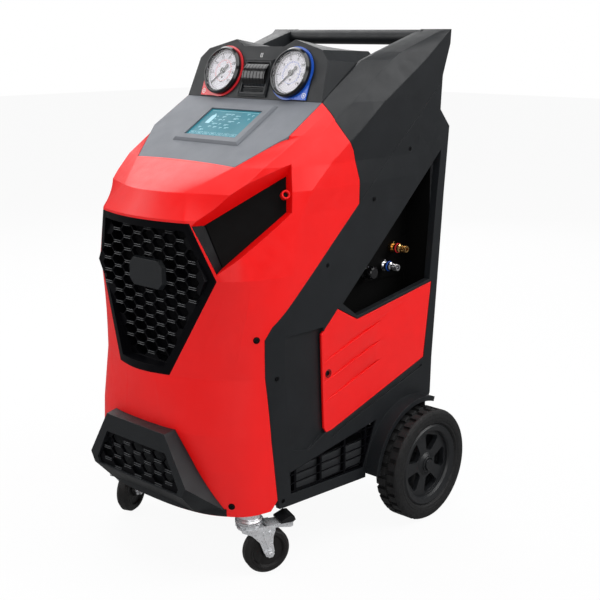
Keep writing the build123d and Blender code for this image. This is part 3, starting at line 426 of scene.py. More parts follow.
def pick_faces(obj: Piece, test: Test) -> None:
    """Select faces in edit mode by their centre and normal.

    Args:
        obj: the object in edit mode.
        test: says whether a face is wanted.
    """
    mesh = bmesh.from_edit_mesh(obj.data)
    for face in mesh.faces:
        face.select_set(test(face.calc_center_median(), face.normal))
    bmesh.update_edit_mesh(obj.data)


def faces_up(centre: Vector, normal: Vector) -> bool:
    """Whether a face looks up."""
    return normal.z > 0.9


def place(obj: Piece, matrix: Matrix) -> Piece:
    """Put a piece's place into its mesh and leave its object at the origin.

    Args:
        obj: the piece.
        matrix: where it goes.

    Returns:
        The same piece.
    """
    obj.data.transform(matrix @ obj.matrix_basis)
    obj.matrix_basis = Matrix.Identity(4)
    return obj


def mm(x: float, y: float, z: float = 0.0) -> Trio:
    """A place given in millimetres, now in metres."""
    return x * MM, y * MM, z * MM


def shift(x: float, y: float, z: float = 0.0) -> Matrix:
    """A move given in millimetres."""
    return Matrix.Translation(mm(x, y, z))


def spun(degrees: float, axis: Axis = Axis.Z) -> Matrix:
    """A turn in degrees about an axis through the origin."""
    return Matrix.Rotation(math.radians(degrees), 4, axis.value)


def smooth(obj: Piece, angle: float = 32.0) -> None:
    """Shade a piece smooth up to an angle in degrees."""
    only(obj)
    bpy.ops.object.shade_smooth_by_angle(angle=math.radians(angle))


def bar(size: Trio, centre: Trio = (0, 0, 0), round_edge: float = 0.0, segments: int = 2) -> Piece:
    """A block with rounded edges, in millimetres.

    Args:
        size: its three sides.
        centre: its middle.
        round_edge: radius of its edges.
        segments: steps in each rounded edge.

    Returns:
        The block.
    """
    obj = begin(bpy.ops.mesh.primitive_cube_add, size=1.0)
    edit(obj, action="SELECT")
    bpy.ops.transform.resize(value=mm(*size))
    if round_edge:
        bpy.ops.mesh.bevel(offset=round_edge * MM, segments=segments, affect="EDGES")
    done()
    return place(obj, shift(*centre))


def trace(points: Sequence[Trio]) -> Piece:
    """Draw a chain of edges, left open in edit mode with all of it selected.

    Args:
        points: its corners in order, in millimetres.

    Returns:
        The chain.
    """
    obj = begin(bpy.ops.mesh.primitive_plane_add, size=1.0)
    edit(obj, "VERT", "SELECT")
    bpy.ops.mesh.merge(type="CENTER")
    corners = [mm(*point) for point in points]
    bpy.ops.transform.translate(value=corners[0])
    for last, corner in zip(corners[:-1], corners[1:]):
        pull([b - a for a, b in zip(last, corner)])
    bpy.ops.mesh.select_all(action="SELECT")
    return obj


def turned(profile: Sequence[Pair], steps: int = 48) -> Piece:
    """A turned piece about Z.

    Args:
        profile: the corners of its section, each a radius and a height in millimetres.
        steps: how many steps go round.

    Returns:
        The turned piece.
    """
    obj = trace([(radius, 0, height) for radius, height in (*profile, profile[0])])
    bpy.ops.mesh.remove_doubles(threshold=1e-6)
    bpy.ops.mesh.spin(steps=steps, angle=2 * math.pi, center=(0, 0, 0), axis=(0, 0, 1))
    bpy.ops.mesh.select_all(action="SELECT")
    bpy.ops.mesh.remove_doubles(threshold=1e-6)
    bpy.ops.mesh.normals_make_consistent(inside=False)
    done()
    smooth(obj)
    return obj


def ring(outer: float, inner: float, height: float, steps: int = 48) -> Piece:
    """A flat ring on Z 0 with slightly broken outer edges, in millimetres."""
    chamfer = min(height * 0.4, (outer - inner) * 0.25)
    low = height - chamfer
    return turned([(inner, 0), (outer, 0), (outer, low), (outer - chamfer, height), (inner, height)], steps)


def plate(outline: Sequence[Pair], thickness: float, round_edge: float = 0.0) -> Piece:
    """A flat piece in XY from Z 0 up to its thickness, in millimetres.

    Args:
        outline: its corners in order.
        thickness: its height.
        round_edge: radius of its upper edges.

    Returns:
        The plate.
    """
    obj = trace([(x, y, 0) for x, y in outline])
    bpy.ops.mesh.edge_face_add()
    pull(mm(0, 0, thickness))
    bpy.ops.mesh.select_all(action="SELECT")
    bpy.ops.mesh.normals_make_consistent(inside=False)
    if round_edge:
        bpy.ops.mesh.select_all(action="DESELECT")
        bpy.ops.mesh.select_mode(type="FACE")
        pick_faces(obj, faces_up)
        bpy.ops.mesh.region_to_loop()
        bpy.ops.mesh.bevel(offset=round_edge * MM, segments=2, affect="EDGES")
    done()
    return obj


def words(text: str, height: float, depth: float) -> Piece:
    """Letters in XY standing up from Z 0, centred, in millimetres."""
    obj = begin(bpy.ops.object.text_add)
    obj.data.body = text
    obj.data.size = height * MM
    obj.data.align_x = "CENTER"
    obj.data.align_y = "CENTER"
    obj.data.extrude = depth / 2 * MM
    obj.data.resolution_u = 2
    bpy.ops.object.convert(target="MESH")
    return place(bpy.context.active_object, shift(0, 0, depth / 2))


def twin(obj: Piece, matrix: Matrix) -> Piece:
    """Copy a piece with its own mesh, moved by a matrix.

    Args:
        obj: the piece to copy.
        matrix: the move.

    Returns:
        The copy.
    """
    copy = obj.copy()
    copy.data = obj.data.copy()
    bpy.context.scene.collection.objects.link(copy)
    copy.data.transform(matrix)
    if matrix.determinant() < 0:
        copy.data.flip_normals()
    return copy


def gather(objects: Sequence[Piece]) -> Piece:
    """Join pieces into the first one.

    Args:
        objects: the pieces.

    Returns:
        The joined piece.
    """
    only(objects[0])
    for obj in objects:
        obj.select_set(True)
    if len(objects) > 1:
        bpy.ops.object.join()
    return bpy.context.view_layer.objects.active


def repeat(obj: Piece, places: Iterable[Matrix]) -> Piece:
    """Copy a piece to each place, join the copies and drop the pattern.

    Args:
        obj: the pattern.
        places: where the copies go.

    Returns:
        The joined copies.
    """
    copies = [twin(obj, where) for where in places]
    bpy.data.objects.remove(obj)
    return gather(copies)


def strokes(base: Matrix, rows: Iterable[Quad], ink: float) -> Piece:
    """Print bars on a plane.

    Args:
        base: the plane.
        rows: each bar's place across and up, its width and its height, in millimetres.
        ink: how far they stand up.

    Returns:
        The joined bars.
    """
    return gather([place(bar((width, height, ink), (0, 0, ink / 2)), base @ shift(x, y))
                   for x, y, width, height in rows])


def apply(obj: Piece, kind: str, **settings: object) -> None:
    """Add a modifier and apply it.

    Args:
        obj: the piece.
        kind: the modifier's type.
        settings: attributes of the modifier, set by name.
    """
    only(obj)
    modifier = obj.modifiers.new("step", kind)
    for key, value in settings.items():
        setattr(modifier, key, value)
    bpy.ops.object.modifier_apply(modifier=modifier.name)


def carve(obj: Piece, cutter: Piece) -> None:
    """Cut one piece out of another and drop the cutter."""
    apply(obj, "BOOLEAN", operation="DIFFERENCE", solver="EXACT", object=cutter)
    bpy.data.objects.remove(cutter)


def dress(obj: Piece, finish: Finish) -> None:
    """Give a piece one finish all over."""
    obj.data.materials.clear()
    obj.data.materials.append(material_of(finish))


def fit(obj: Piece, name: str, finish: Finish, body: str = "root") -> Piece:
    """Name a new piece, dress it and let it ride on its body.

    Args:
        obj: the piece.
        name: its name.
        finish: its finish.
        body: the body it rides on.

    Returns:
        The same piece.
    """
    obj.name = name
    obj.data.name = name
    dress(obj, finish)
    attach(obj, body)
    LOG.info("piece %s on %s: %d faces", name, body, len(obj.data.polygons))
    return obj


MIRROR = Matrix.Scale(-1, 4, (1, 0, 0))


def fit_pair(obj: Piece, name: str, finish: Finish) -> list[Piece]:
    """Fit a right-hand piece and its mirror image, both on the root."""
    left = twin(obj, MIRROR)
    return [fit(obj, f"{name}_right", finish), fit(left, f"{name}_left", finish)]


def middle(node: str) -> Vector:
    """Middle of a node's box."""
    low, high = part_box(node)
    return (low + high) / 2


def probe(node: str, start: Point, direction: Point) -> tuple[Vector, Vector]:
    """Find where a straight line meets a node.

    Args:
        node: the node's name.
        start: where the line starts, in metres.
        direction: where it goes.

    Returns:
        The point and the surface normal there.
    """
    hit, point, normal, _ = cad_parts[node].ray_cast(Vector(start), Vector(direction).normalized())
    if not hit:
        raise ValueError(f"nothing of {node} from {start} along {direction}")
    return point, normal


# Planes of the machine

PANEL_TILT = math.radians(20.0)
PANEL_DIAL_V, PANEL_DIAL_LEVEL = 56.0, 2.5
CONSOLE_NORMAL = (0.0, -114.0, 187.0)


def frame_at(origin: Point, z_dir: Point, x_dir: Point) -> Matrix:
    """A frame from its origin, its Z and its X direction."""
    z = Vector(z_dir).normalized()
    x = Vector(x_dir)
    x = (x - z * x.dot(z)).normalized()
    matrix = Matrix((x, z.cross(x), z)).transposed().to_4x4()
    matrix.translation = Vector(origin)
    return matrix


def panel_frame(centre: Vector) -> Matrix:
    """Frame on the tilted instrument panel: X right, Y up the panel, Z out of it."""
    return frame_at(centre, (0, -math.cos(PANEL_TILT), math.sin(PANEL_TILT)), (1, 0, 0))


def on_panel(x: float, v: float, h: float = 0.0) -> Matrix:
    """Frame at a place on the instrument panel: across, up from its lower edge, and out of it."""
    between = (middle("gauge_dial_high") + middle("gauge_dial_low")) / 2
    return panel_frame(between) @ shift(x, v - PANEL_DIAL_V, h - PANEL_DIAL_LEVEL)


def outward(point: Point, sign: int = 1) -> Matrix:
    """Frame on one side of the machine, at a point in metres: X backwards, Z outwards."""
    return frame_at(point, (sign, 0, 0), (0, 1, 0))


# Sub-assemblies


@dataclass
class Carcass:
    """Finishes of all nodes whose shape stays as it is."""

    red: tuple[str, ...] = ("front_cover", "side_panel_right", "side_panel_left")
    finishes: dict[str, Finish] = field(default_factory=lambda: {
        "console_panel": CONSOLE_GREY, "screen_bezel": CONSOLE_GREY, "touchscreen": SCREEN,
        "front_grille": MESH_BLACK, "badge_plate": BLACK_COVER, "bumper": BLACK_COVER,
        "bumper_grille": MESH_BLACK, "instrument_housing": BLACK_COVER, "printer_frame": BLACK_COVER,
        "printer_cover": GLOSS_BLACK, "handle_bar": BLACK_COVER, "rear_panel": STEEL,
        "power_inlet": GLOSS_BLACK, "power_switch": GLOSS_BLACK, "rear_axle": DARK_STEEL,
        "service_port_high": BRASS, "service_port_low": CHROME, "gauge_flag_high": FLAG_RED,
        "gauge_flag_low": FLAG_BLUE, "chassis_base": STEEL, "load_cell": ALUMINIUM,
        "refrigerant_tank": TANK_PAINT, "vacuum_pump": ALUMINIUM, "compressor": STEEL,
        "condenser": ALUMINIUM, "fan_shroud": INNER_BLACK_AND_SHADE, "fan_rotor": INNER_BLACK_AND_SHADE,
        "control_board": BOARD_GREEN, "manifold_block": BRASS,
    })
    paired: dict[str, Finish] = field(default_factory=lambda: {
        "side_wing": BLACK_COVER, "side_frame": BLACK_COVER, "side_louvre": MESH_BLACK,
        # hose_pocket and slot_back wear the inner black, darkened as painted shade.
        "hose_pocket": INNER_BLACK_AND_SHADE, "tyre": RUBBER, "rim": RIM_PLASTIC, "caster_head": ZINC,
        "caster_fork": ZINC, "caster_wheel": CASTER_RUBBER, "caster_brake": ZINC,
        "caster_pad": GLOSS_BLACK, "slot_back": INNER_BLACK_AND_SHADE,
    })
    gauges: dict[str, Finish] = field(default_factory=lambda: {
        "gauge_case": GLOSS_BLACK, "gauge_dial": DIAL_PAPER, "gauge_lens": LENS, "gauge_needle": GLOSS_BLACK,
    })

    def build(self) -> None:
        """Dress every node of the frame."""
        chosen: dict[str, Finish] = {name: RED_COVER for name in self.red}
        chosen.update(self.finishes)
        sides = [side.word for side in Side]
        for family, ends in ((self.paired, sides), (self.gauges, ("high", "low"))):
            chosen.update({f"{stem}_{end}": finish for stem, finish in family.items() for end in ends})
        for name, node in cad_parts.items():
            dress(node, chosen[name])
            LOG.info("node %s wears %s", name, chosen[name].name)


@dataclass
class Screw:
    """Round head with a six-lobed drive, standing on Z 0 and facing up. Rim, crown and drive are shares."""

    radius: float = 4.2
    height: float = 2.2
    rim: float = 0.18
    crown: float = 0.12
    drive: float = 0.55
    waist: float = 0.72
    socket: float = 1.2
    corners: int = 24

    def make(self) -> Piece:
        """Model one head at the origin."""
        radius, height = self.radius * MM, self.height * MM
        obj = begin(bpy.ops.mesh.primitive_cylinder_add, vertices=self.corners, radius=radius, depth=height,
                    location=(0, 0, height / 2))
        place(obj, Matrix.Identity(4))
        edit(obj)
        pick_faces(obj, faces_up)
        bpy.ops.mesh.inset(thickness=self.rim * radius)
        bpy.ops.transform.translate(value=(0, 0, self.crown * height))
        bpy.ops.mesh.inset(thickness=(1 - self.rim - self.drive) * radius)
        self.shape_lobes(obj, radius, height)
        pull(mm(0, 0, -self.socket))
        done()
        smooth(obj, 40)
        return obj

    def shape_lobes(self, obj: Piece, radius: float, height: float) -> None:
        """Draw the drive's corners between its lobes inwards, then pick its floor again."""
        bpy.ops.mesh.select_mode(type="VERT")
        mesh = bmesh.from_edit_mesh(obj.data)
        reach = self.drive * radius * 1.1
        for vert in mesh.verts:
            step = round(math.atan2(vert.co.y, vert.co.x) / (2 * math.pi) * self.corners) % 4
            vert.select_set(vert.co.z > height * 0.9 and vert.co.xy.length < reach and step in (0, 1))
        bmesh.update_edit_mesh(obj.data)
        bpy.ops.transform.resize(value=(self.waist, self.waist, 1), center_override=(0, 0, 0))
        bpy.ops.mesh.select_mode(type="FACE")
        pick_faces(obj, lambda c, n: n.z > 0.9 and c.xy.length < 0.2 * radius)


@dataclass
class CoverScrews:
    """Dark screws at the bottom of the moulded cups, and the hood's two bosses."""

    big: Screw = field(default_factory=lambda: Screw(radius=5.0, height=2.6))
    outside: float = 400.0
    frame_places: tuple[Pair, ...] = ((205, 820), (93, 726), (-49, 610), (-190, 408), (-173, 149))
    panel_place: Pair = (-43, 386)
    panel_rim: float = 9.0
    panel_collar: Trio = (8.6, 7.0, 0.8)
    cover_collar: Trio = (6.6, 4.6, 0.7)
    cover_starts: tuple[Trio, ...] = ((360, -490, 158), (312.3, -345.8, 489))
    cover_aim: Trio = (-0.6, 0.8, 0)
    hood_place: Trio = (215.3, -138.7, 756.4)
    hood_axis: Trio = (0.80, -0.53, 0.28)
    hood_sink: float = 6.0
    boss: tuple[Pair, ...] = ((5.2, -9), (8.8, -9), (8.8, 6.2), (8.0, 7), (6.0, 7), (5.2, 6.2))

    def build(self) -> None:
        """Fit all screws on both sides."""
        for side in Side:
            self.fit_flank(side)
            self.fit_front(side)
            self.fit_hood(side)

    def seat(self, node: str, side: Side, y: float, z: float) -> Vector:
        """Where a line from beside the machine meets a node of that side."""
        start = mm(side.value * self.outside, y, z)
        return probe(f"{node}_{side.word}", start, (-side.value, 0, 0))[0]

    def fit_flank(self, side: Side) -> None:
        """Fit the screws of one side frame, and the side cover's lock with its collar."""
        sign, word = side.value, side.word
        spots = [outward(self.seat("side_frame", side, *spot), sign) for spot in self.frame_places]
        fit(repeat(Screw().make(), spots), f"frame_screws_{word}", DARK_STEEL)
        lock = place(self.big.make(), outward(self.seat("side_panel", side, *self.panel_place), sign))
        fit(lock, f"panel_screw_{word}", DARK_STEEL)
        y, z = self.panel_place
        rim = self.seat("side_panel", side, y + self.panel_rim, z)
        collar = place(ring(*self.panel_collar), outward(Vector((rim.x, y * MM, z * MM)), sign))
        fit(collar, f"panel_collar_{word}", GLOSS_BLACK)

    def fit_front(self, side: Side) -> None:
        """Fit the screws in the front cover's cups."""
        sign, word = side.value, side.word
        aim = (sign * self.cover_aim[0], *self.cover_aim[1:])
        hits = [probe("front_cover", mm(sign * x, y, z), aim) for x, y, z in self.cover_starts]
        spots = [frame_at(point, normal, (0, 0, 1)) for point, normal in hits]
        fit(repeat(self.big.make(), spots), f"front_screws_{word}", DARK_STEEL)
        # The collars in the cups wear the inner black, darkened as painted shade.
        fit(repeat(ring(*self.cover_collar), spots), f"front_collars_{word}", INNER_BLACK_AND_SHADE)

    def fit_hood(self, side: Side) -> None:
        """Fit the boss at the hood's edge and the screw in it."""
        x, y, z = self.hood_place
        axis = Vector((side.value * self.hood_axis[0], *self.hood_axis[1:])).normalized()
        seat = frame_at(mm(side.value * x, y, z), axis, (0, 0, 1))
        fit(place(turned(self.boss, 40), seat), f"hood_boss_{side.word}", RED_COVER)
        screw = place(self.big.make(), seat @ shift(0, 0, -self.hood_sink))
        fit(screw, f"hood_screw_{side.word}", DARK_STEEL)


@dataclass
class GaugeFace:
    """Printed scales of one pressure gauge.

    A tick is its radius, length and width, a row its radius and height, the unit its height and drop.
    """

    which: str
    figures: tuple[str, ...]
    inner_finish: Finish
    start: float = 225.0
    sweep: float = 270.0
    level: float = 0.5
    ink: float = 0.45
    fine_steps: int = 5
    long_tick: Trio = (37.4, 5.0, 1.6)
    short_tick: Trio = (38.4, 3.0, 0.8)
    inner_tick: Trio = (24.2, 3.0, 0.8)
    circles: Pair = (40.2, 22.4)
    circle_width: float = 0.5
    row: Pair = (30.4, 8.6)
    inner_row: Pair = (18.2, 3.8)
    unit: Pair = (5.0, 24.0)
    dot: Pair = (2.2, 0.4)
    dot_drop: float = 14.0

    def build(self) -> None:
        """Print the face on the dial."""
        base = panel_frame(middle(f"gauge_dial_{self.which}")) @ shift(0, 0, self.level)
        steps = (len(self.figures) - 1) * self.fine_steps
        turns = [self.start - self.sweep * i / steps for i in range(steps + 1)]
        short = [turn for i, turn in enumerate(turns) if i % self.fine_steps]
        scale = [self.ticks(base, turns[::self.fine_steps], self.long_tick),
                 self.ticks(base, short, self.short_tick),
                 self.circle(base, self.circles[0]), self.numbers(base, 1, self.row),
                 place(words("bar", self.unit[0], self.ink), base @ shift(0, -self.unit[1])),
                 place(ring(*self.dot, self.ink, 20), base @ shift(0, -self.dot_drop))]
        inner = [self.ticks(base, turns[::2], self.inner_tick), self.circle(base, self.circles[1]),
                 self.numbers(base, 2, self.inner_row)]
        fit(gather(scale), f"dial_scale_{self.which}", DIAL_INK)
        fit(gather(inner), f"dial_inner_{self.which}", self.inner_finish)

    def ticks(self, base: Matrix, turns: Sequence[float], tick: Trio) -> Piece:
        """Ticks at the given turns in degrees."""
        radius, length, width = tick
        line = bar((length, width, self.ink), (0, 0, self.ink / 2))
        return repeat(line, [base @ spun(turn) @ shift(radius, 0) for turn in turns])

    def circle(self, base: Matrix, radius: float) -> Piece:
        """A thin printed line round the whole dial."""
        half = self.circle_width / 2
        return place(ring(radius + half, radius - half, self.ink, 64), base)

    def numbers(self, base: Matrix, every: int, row: Pair) -> Piece:
        """Every first, second or further figure, round the dial."""
        radius, height = row
        parts = []
        for i in range(0, len(self.figures), every):
            turn = math.radians(self.start - self.sweep * i / (len(self.figures) - 1))
            where = base @ shift(radius * math.cos(turn), radius * math.sin(turn))
            parts.append(place(words(self.figures[i], height, self.ink), where))
        return gather(parts)


@dataclass
class FlagMark:
    """White ring with a dot in the corner of a gauge's coloured plate."""

    which: str
    sign: int
    corner: Pair = (46.8, -44.9)
    ink: float = 0.2
    border: Pair = (5.4, 4.3)
    dot: Pair = (2.0, 0.5)
    stroke: Quad = (0, 2.6, 0.9, 3.0)

    def build(self) -> None:
        """Print the mark."""
        across, up = self.corner
        base = panel_frame(middle(f"gauge_dial_{self.which}")) @ shift(self.sign * across, up)
        above, down = base @ Vector(mm(0, 0, 50)), base.to_3x3() @ Vector((0, 0, -1))
        where = panel_frame(probe(f"gauge_flag_{self.which}", above, down)[0])
        parts = [place(ring(*self.border, self.ink, 32), where), place(ring(*self.dot, self.ink, 20), where),
                 strokes(where, [self.stroke], self.ink)]
        fit(gather(parts), f"flag_mark_{self.which}", SIGN_WHITE)


@dataclass
class ScreenPage:
    """What the touchscreen shows: a bottle, readings as rows of bars, and a row of keys.

    A unit below each reading is its shift and length as shares of the reading's, its drop and its height.
    """

    level: float = 2.5
    ink: float = 0.12
    readings: tuple[Trio, ...] = (
        (-12, 31, 16), (2, 31, 8), (20, 27, 13), (-16, 22, 10), (22, 18, 15), (-20, 12, 9), (-9, 12, 5),
        (16, 8, 17), (-24, -2, 14), (-8, -2, 5), (12, -4, 12), (-30, -12, 8), (-14, -13, 9), (4, -14, 7),
        (20, -13, 12), (-56, -16, 8), (-44, -24, 10), (44, 36, 7), (60, 32, 5), (57, 20, 5), (40, 6, 6))
    reading_height: float = 1.5
    unit: Quad = (0.2, 0.55, 2.8, 1.0)
    top_line: Quad = (0, 40.5, 136, 0.7)
    keys: int = 7
    first_key: Pair = (-60, -36)
    key_pitch: float = 20.0
    key: tuple[Quad, ...] = ((0, -3.5, 15, 0.6), (0, 3.5, 15, 0.6), (-7.5, 0, 0.6, 7), (7.5, 0, 0.6, 7),
                             (0, 0, 8, 1.2))
    bottle_place: Pair = (-48, 13)
    bottle_marks: tuple[Quad, ...] = ((12, -10, 5, 1.2), (12, 0, 5, 1.2), (12, 9, 5, 1.2))
    bottle: tuple[Pair, ...] = (
        (-5, -16), (5, -16), (6.5, -14), (6.5, 9), (4.5, 12), (2, 13), (2, 17), (-2, 17), (-2, 13),
        (-4.5, 12), (-6.5, 9), (-6.5, -14))

    def build(self) -> None:
        """Print the page."""
        base = frame_at(middle("touchscreen"), CONSOLE_NORMAL, (1, 0, 0)) @ shift(0, 0, self.level)
        rows = [self.top_line]
        shifted, share, drop, height = self.unit
        for x, y, length in self.readings:
            rows += [(x, y, length, self.reading_height),
                     (x - length * shifted, y - drop, length * share, height)]
        x, y = self.first_key
        for i in range(self.keys):
            rows += [(x + i * self.key_pitch + dx, y + dy, *size) for dx, dy, *size in self.key]
        beside = base @ shift(*self.bottle_place)
        parts = [strokes(base, rows, self.ink), strokes(beside, self.bottle_marks, self.ink),
                 place(plate(self.bottle, self.ink), beside)]
        fit(gather(parts), "screen_page", SCREEN_MARK)


@dataclass
class PanelMarks:
    """Paper icon above the printer, the ribbed tray below its cover, and its raised border."""

    icon_v: float = 93.0
    icon: tuple[Quad, ...] = (
        (0, -3.8, 5.4, 0.8), (0, 3.8, 5.4, 0.8), (-2.7, 0, 0.8, 8.4), (2.7, 0, 0.8, 8.4), (0, -1.2, 3.0, 0.6),
        (0, 1.2, 3.0, 0.6))
    ink: float = 0.2
    tray_v: float = 18.0
    tray_half: int = 28
    rib_pitch: int = 4
    rib: Trio = (2.2, 6.5, 1.4)
    border: Quad = (38.5, 7.0, 81.0, 3.5)
    bead_width: float = 1.6

    def build(self) -> None:
        """Fit the icon, the tray ribs and the border."""
        fit(strokes(on_panel(0, self.icon_v), self.icon, self.ink), "paper_mark", SIGN_WHITE)
        places = range(-self.tray_half, self.tray_half + 1, self.rib_pitch)
        ribs = repeat(bar(self.rib, (0, 0, 0.5), 0.4), [on_panel(x, self.tray_v) for x in places])
        fit(ribs, "printer_tray_ribs", BLACK_COVER)
        half, low, high, level = self.border
        edges = [self.bead(high - low, on_panel(dx, (low + high) / 2, level)) for dx in (-half, half)]
        edges += [self.bead(2 * half, on_panel(0, dv, level) @ spun(90)) for dv in (low, high)]
        fit(gather(edges), "printer_border", BLACK_COVER)

    def bead(self, length: float, where: Matrix) -> Piece:
        """One straight run of the raised border."""
        return place(bar((self.bead_width, length, self.bead_width), round_edge=0.5), where)


@dataclass
class CasterTrim:
    """Bright race rings, rivets and pressed ribs of one caster."""

    side: Side
    axis: Pair = (202.0, -231.0)
    turn: float = 67.0
    trail: float = 35.0
    wheel_z: float = 48.0
    leg_y: float = 20.0
    race_levels: Pair = (114.0, 118.0)
    race: tuple[Pair, ...] = ((26.6, 0), (28.2, 0.5), (28.2, 2.0), (26.6, 2.5))
    rivet: tuple[Pair, ...] = ((0, 0), (3.6, 0), (3.4, 1.0), (2.2, 1.9), (0, 2.3))
    cap: tuple[Pair, ...] = ((0, 5.0), (5.2, 5.0), (5.0, 7.6), (3.6, 8.6), (0, 8.8))
    band: tuple[Pair, ...] = ((35.6, 13.9), (37.4, 13.9), (37.0, 14.7), (36.0, 14.7))
    top_ring: Trio = (24.6, 22.6, 1.6)
    top_level: float = 124.0
    rib: Trio = (4.0, 40, 2.4)
    rib_lean: float = 18.0
    rib_place: Pair = (28.0, 75.0)
    rivet_place: Pair = (36.0, 92.0)

    def build(self) -> None:
        """Fit the trim."""
        sign, word = self.side.value, self.side.word
        top = shift(sign * self.axis[0], self.axis[1])
        rings = [place(turned(self.race, 56), top @ shift(0, 0, z)) for z in self.race_levels]
        rings.append(place(ring(*self.top_ring), top @ shift(0, 0, self.top_level)))
        fit(gather(rings), f"race_rings_{word}", CHROME)
        local = top @ spun(self.turn if sign > 0 else 180 - self.turn)
        parts = []
        for face in (1, -1):
            wall = local @ shift(0, face * self.leg_y) @ spun(-90 * face, Axis.X)
            rib = place(bar(self.rib, round_edge=0.9, segments=3), spun(-self.rib_lean * face))
            for piece, (x, z) in ((rib, self.rib_place), (turned(self.rivet, 24), self.rivet_place),
                                  (turned(self.cap, 32), (self.trail, self.wheel_z))):
                parts.append(place(piece, wall @ shift(x, -face * z)))
        fit(gather(parts), f"fork_trim_{word}", ZINC, f"swivel_{word}")
        hub = local @ shift(self.trail, 0, self.wheel_z) @ spun(90, Axis.X)
        bands = repeat(turned(self.band, 56), (hub, hub @ spun(180, Axis.X)))
        fit(bands, f"caster_bands_{word}", CASTER_RUBBER, f"roller_{word}")


@dataclass
class WheelTrim:
    """Raised rings on the tyre wall and round the hub cap of one rear wheel."""

    side: Side
    hub: Trio = (308.0, 229.0, 125.0)
    wall: tuple[Pair, ...] = ((101.0, -1.6), (104.6, -0.9), (104.2, -0.15), (101.4, -0.5))
    collar: tuple[Pair, ...] = (
        (14.5, -11.2), (18.0, -11.2), (18.0, -8.6), (17.2, -7.8), (15.4, -7.8), (14.5, -8.6))

    def build(self) -> None:
        """Fit the rings."""
        sign, word = self.side.value, self.side.word
        wheel = f"wheel_{word}"
        face = outward(mm(sign * self.hub[0], *self.hub[1:]), sign)
        fit(place(turned(self.wall, 96), face), f"tyre_wall_{word}", RUBBER, wheel)
        fit(place(turned(self.collar), face), f"hub_collar_{word}", RIM_PLASTIC, wheel)


@dataclass
class PortTrim:
    """Coloured rings and dust rings on the service ports, and the drain knob beside them."""

    places: tuple[tuple[str, float, float, Finish, Finish], ...] = (
        ("high", 246, 596, FLAG_RED, BRASS), ("low", 216, 560, FLAG_BLUE, CHROME))
    band_x: float = 186.0
    groove_x: Trio = (200.0, 204.0, 208.0)
    knob_place: Trio = (168, 156, 554)
    knob: tuple[Pair, ...] = (
        (0, 0), (15, 0), (15, 4), (9, 6), (9, 14), (13, 16), (13, 26), (11, 28), (0, 28))
    band: Trio = (10.7, 9.9, 3.0)
    groove: Trio = (7.5, 6.9, 1.2)
    grip: Trio = (2.4, 2.2, 10.0)
    grip_place: Trio = (13.4, 0.0, 21.0)
    grips: int = 12

    def build(self) -> None:
        """Fit the rings and the knob."""
        for name, y, z, finish, metal in self.places:
            band = place(ring(*self.band), outward(mm(self.band_x, y, z)))
            fit(band, f"port_band_{name}", finish)
            grooves = repeat(ring(*self.groove), [outward(mm(x, y, z)) for x in self.groove_x])
            fit(grooves, f"port_rings_{name}", metal)
        face = outward(mm(*self.knob_place))
        grip = bar(self.grip, self.grip_place, 0.7)
        grips = repeat(grip, [face @ spun(360 / self.grips * i) for i in range(self.grips)])
        fit(gather([place(turned(self.knob, 40), face), grips]), "drain_knob", GLOSS_BLACK)


@dataclass
class RearDetails:
    """Louvre hoods and border screws on the folded back."""

    sheet_y: float = 306.0
    hood: Trio = (224, 9, 1.6)
    hood_lean: float = -52.0
    hood_out: float = 2.2
    hood_rows: int = 8
    hood_first: float = 305.5
    hood_pitch: float = 22.0
    screw_x: Trio = (-214, 0, 214)
    screw_z: tuple[float, ...] = (160, 330, 520, 700, 850)

    def build(self) -> None:
        """Fit the details."""
        levels = [self.hood_first + row * self.hood_pitch for row in range(self.hood_rows)]
        spots = [shift(0, self.sheet_y + self.hood_out, z) @ spun(self.hood_lean, Axis.X) for z in levels]
        fit(repeat(bar(self.hood, round_edge=0.5), spots), "louvre_hoods", STEEL)
        ends = (self.screw_z[0], self.screw_z[-1])
        spots = [frame_at(mm(x, self.sheet_y, z), (0, 1, 0), (1, 0, 0))
                 for x in self.screw_x for z in self.screw_z if x or z in ends]
        fit(repeat(Screw(radius=4.6, height=2.0).make(), spots), "rear_screws", ZINC)


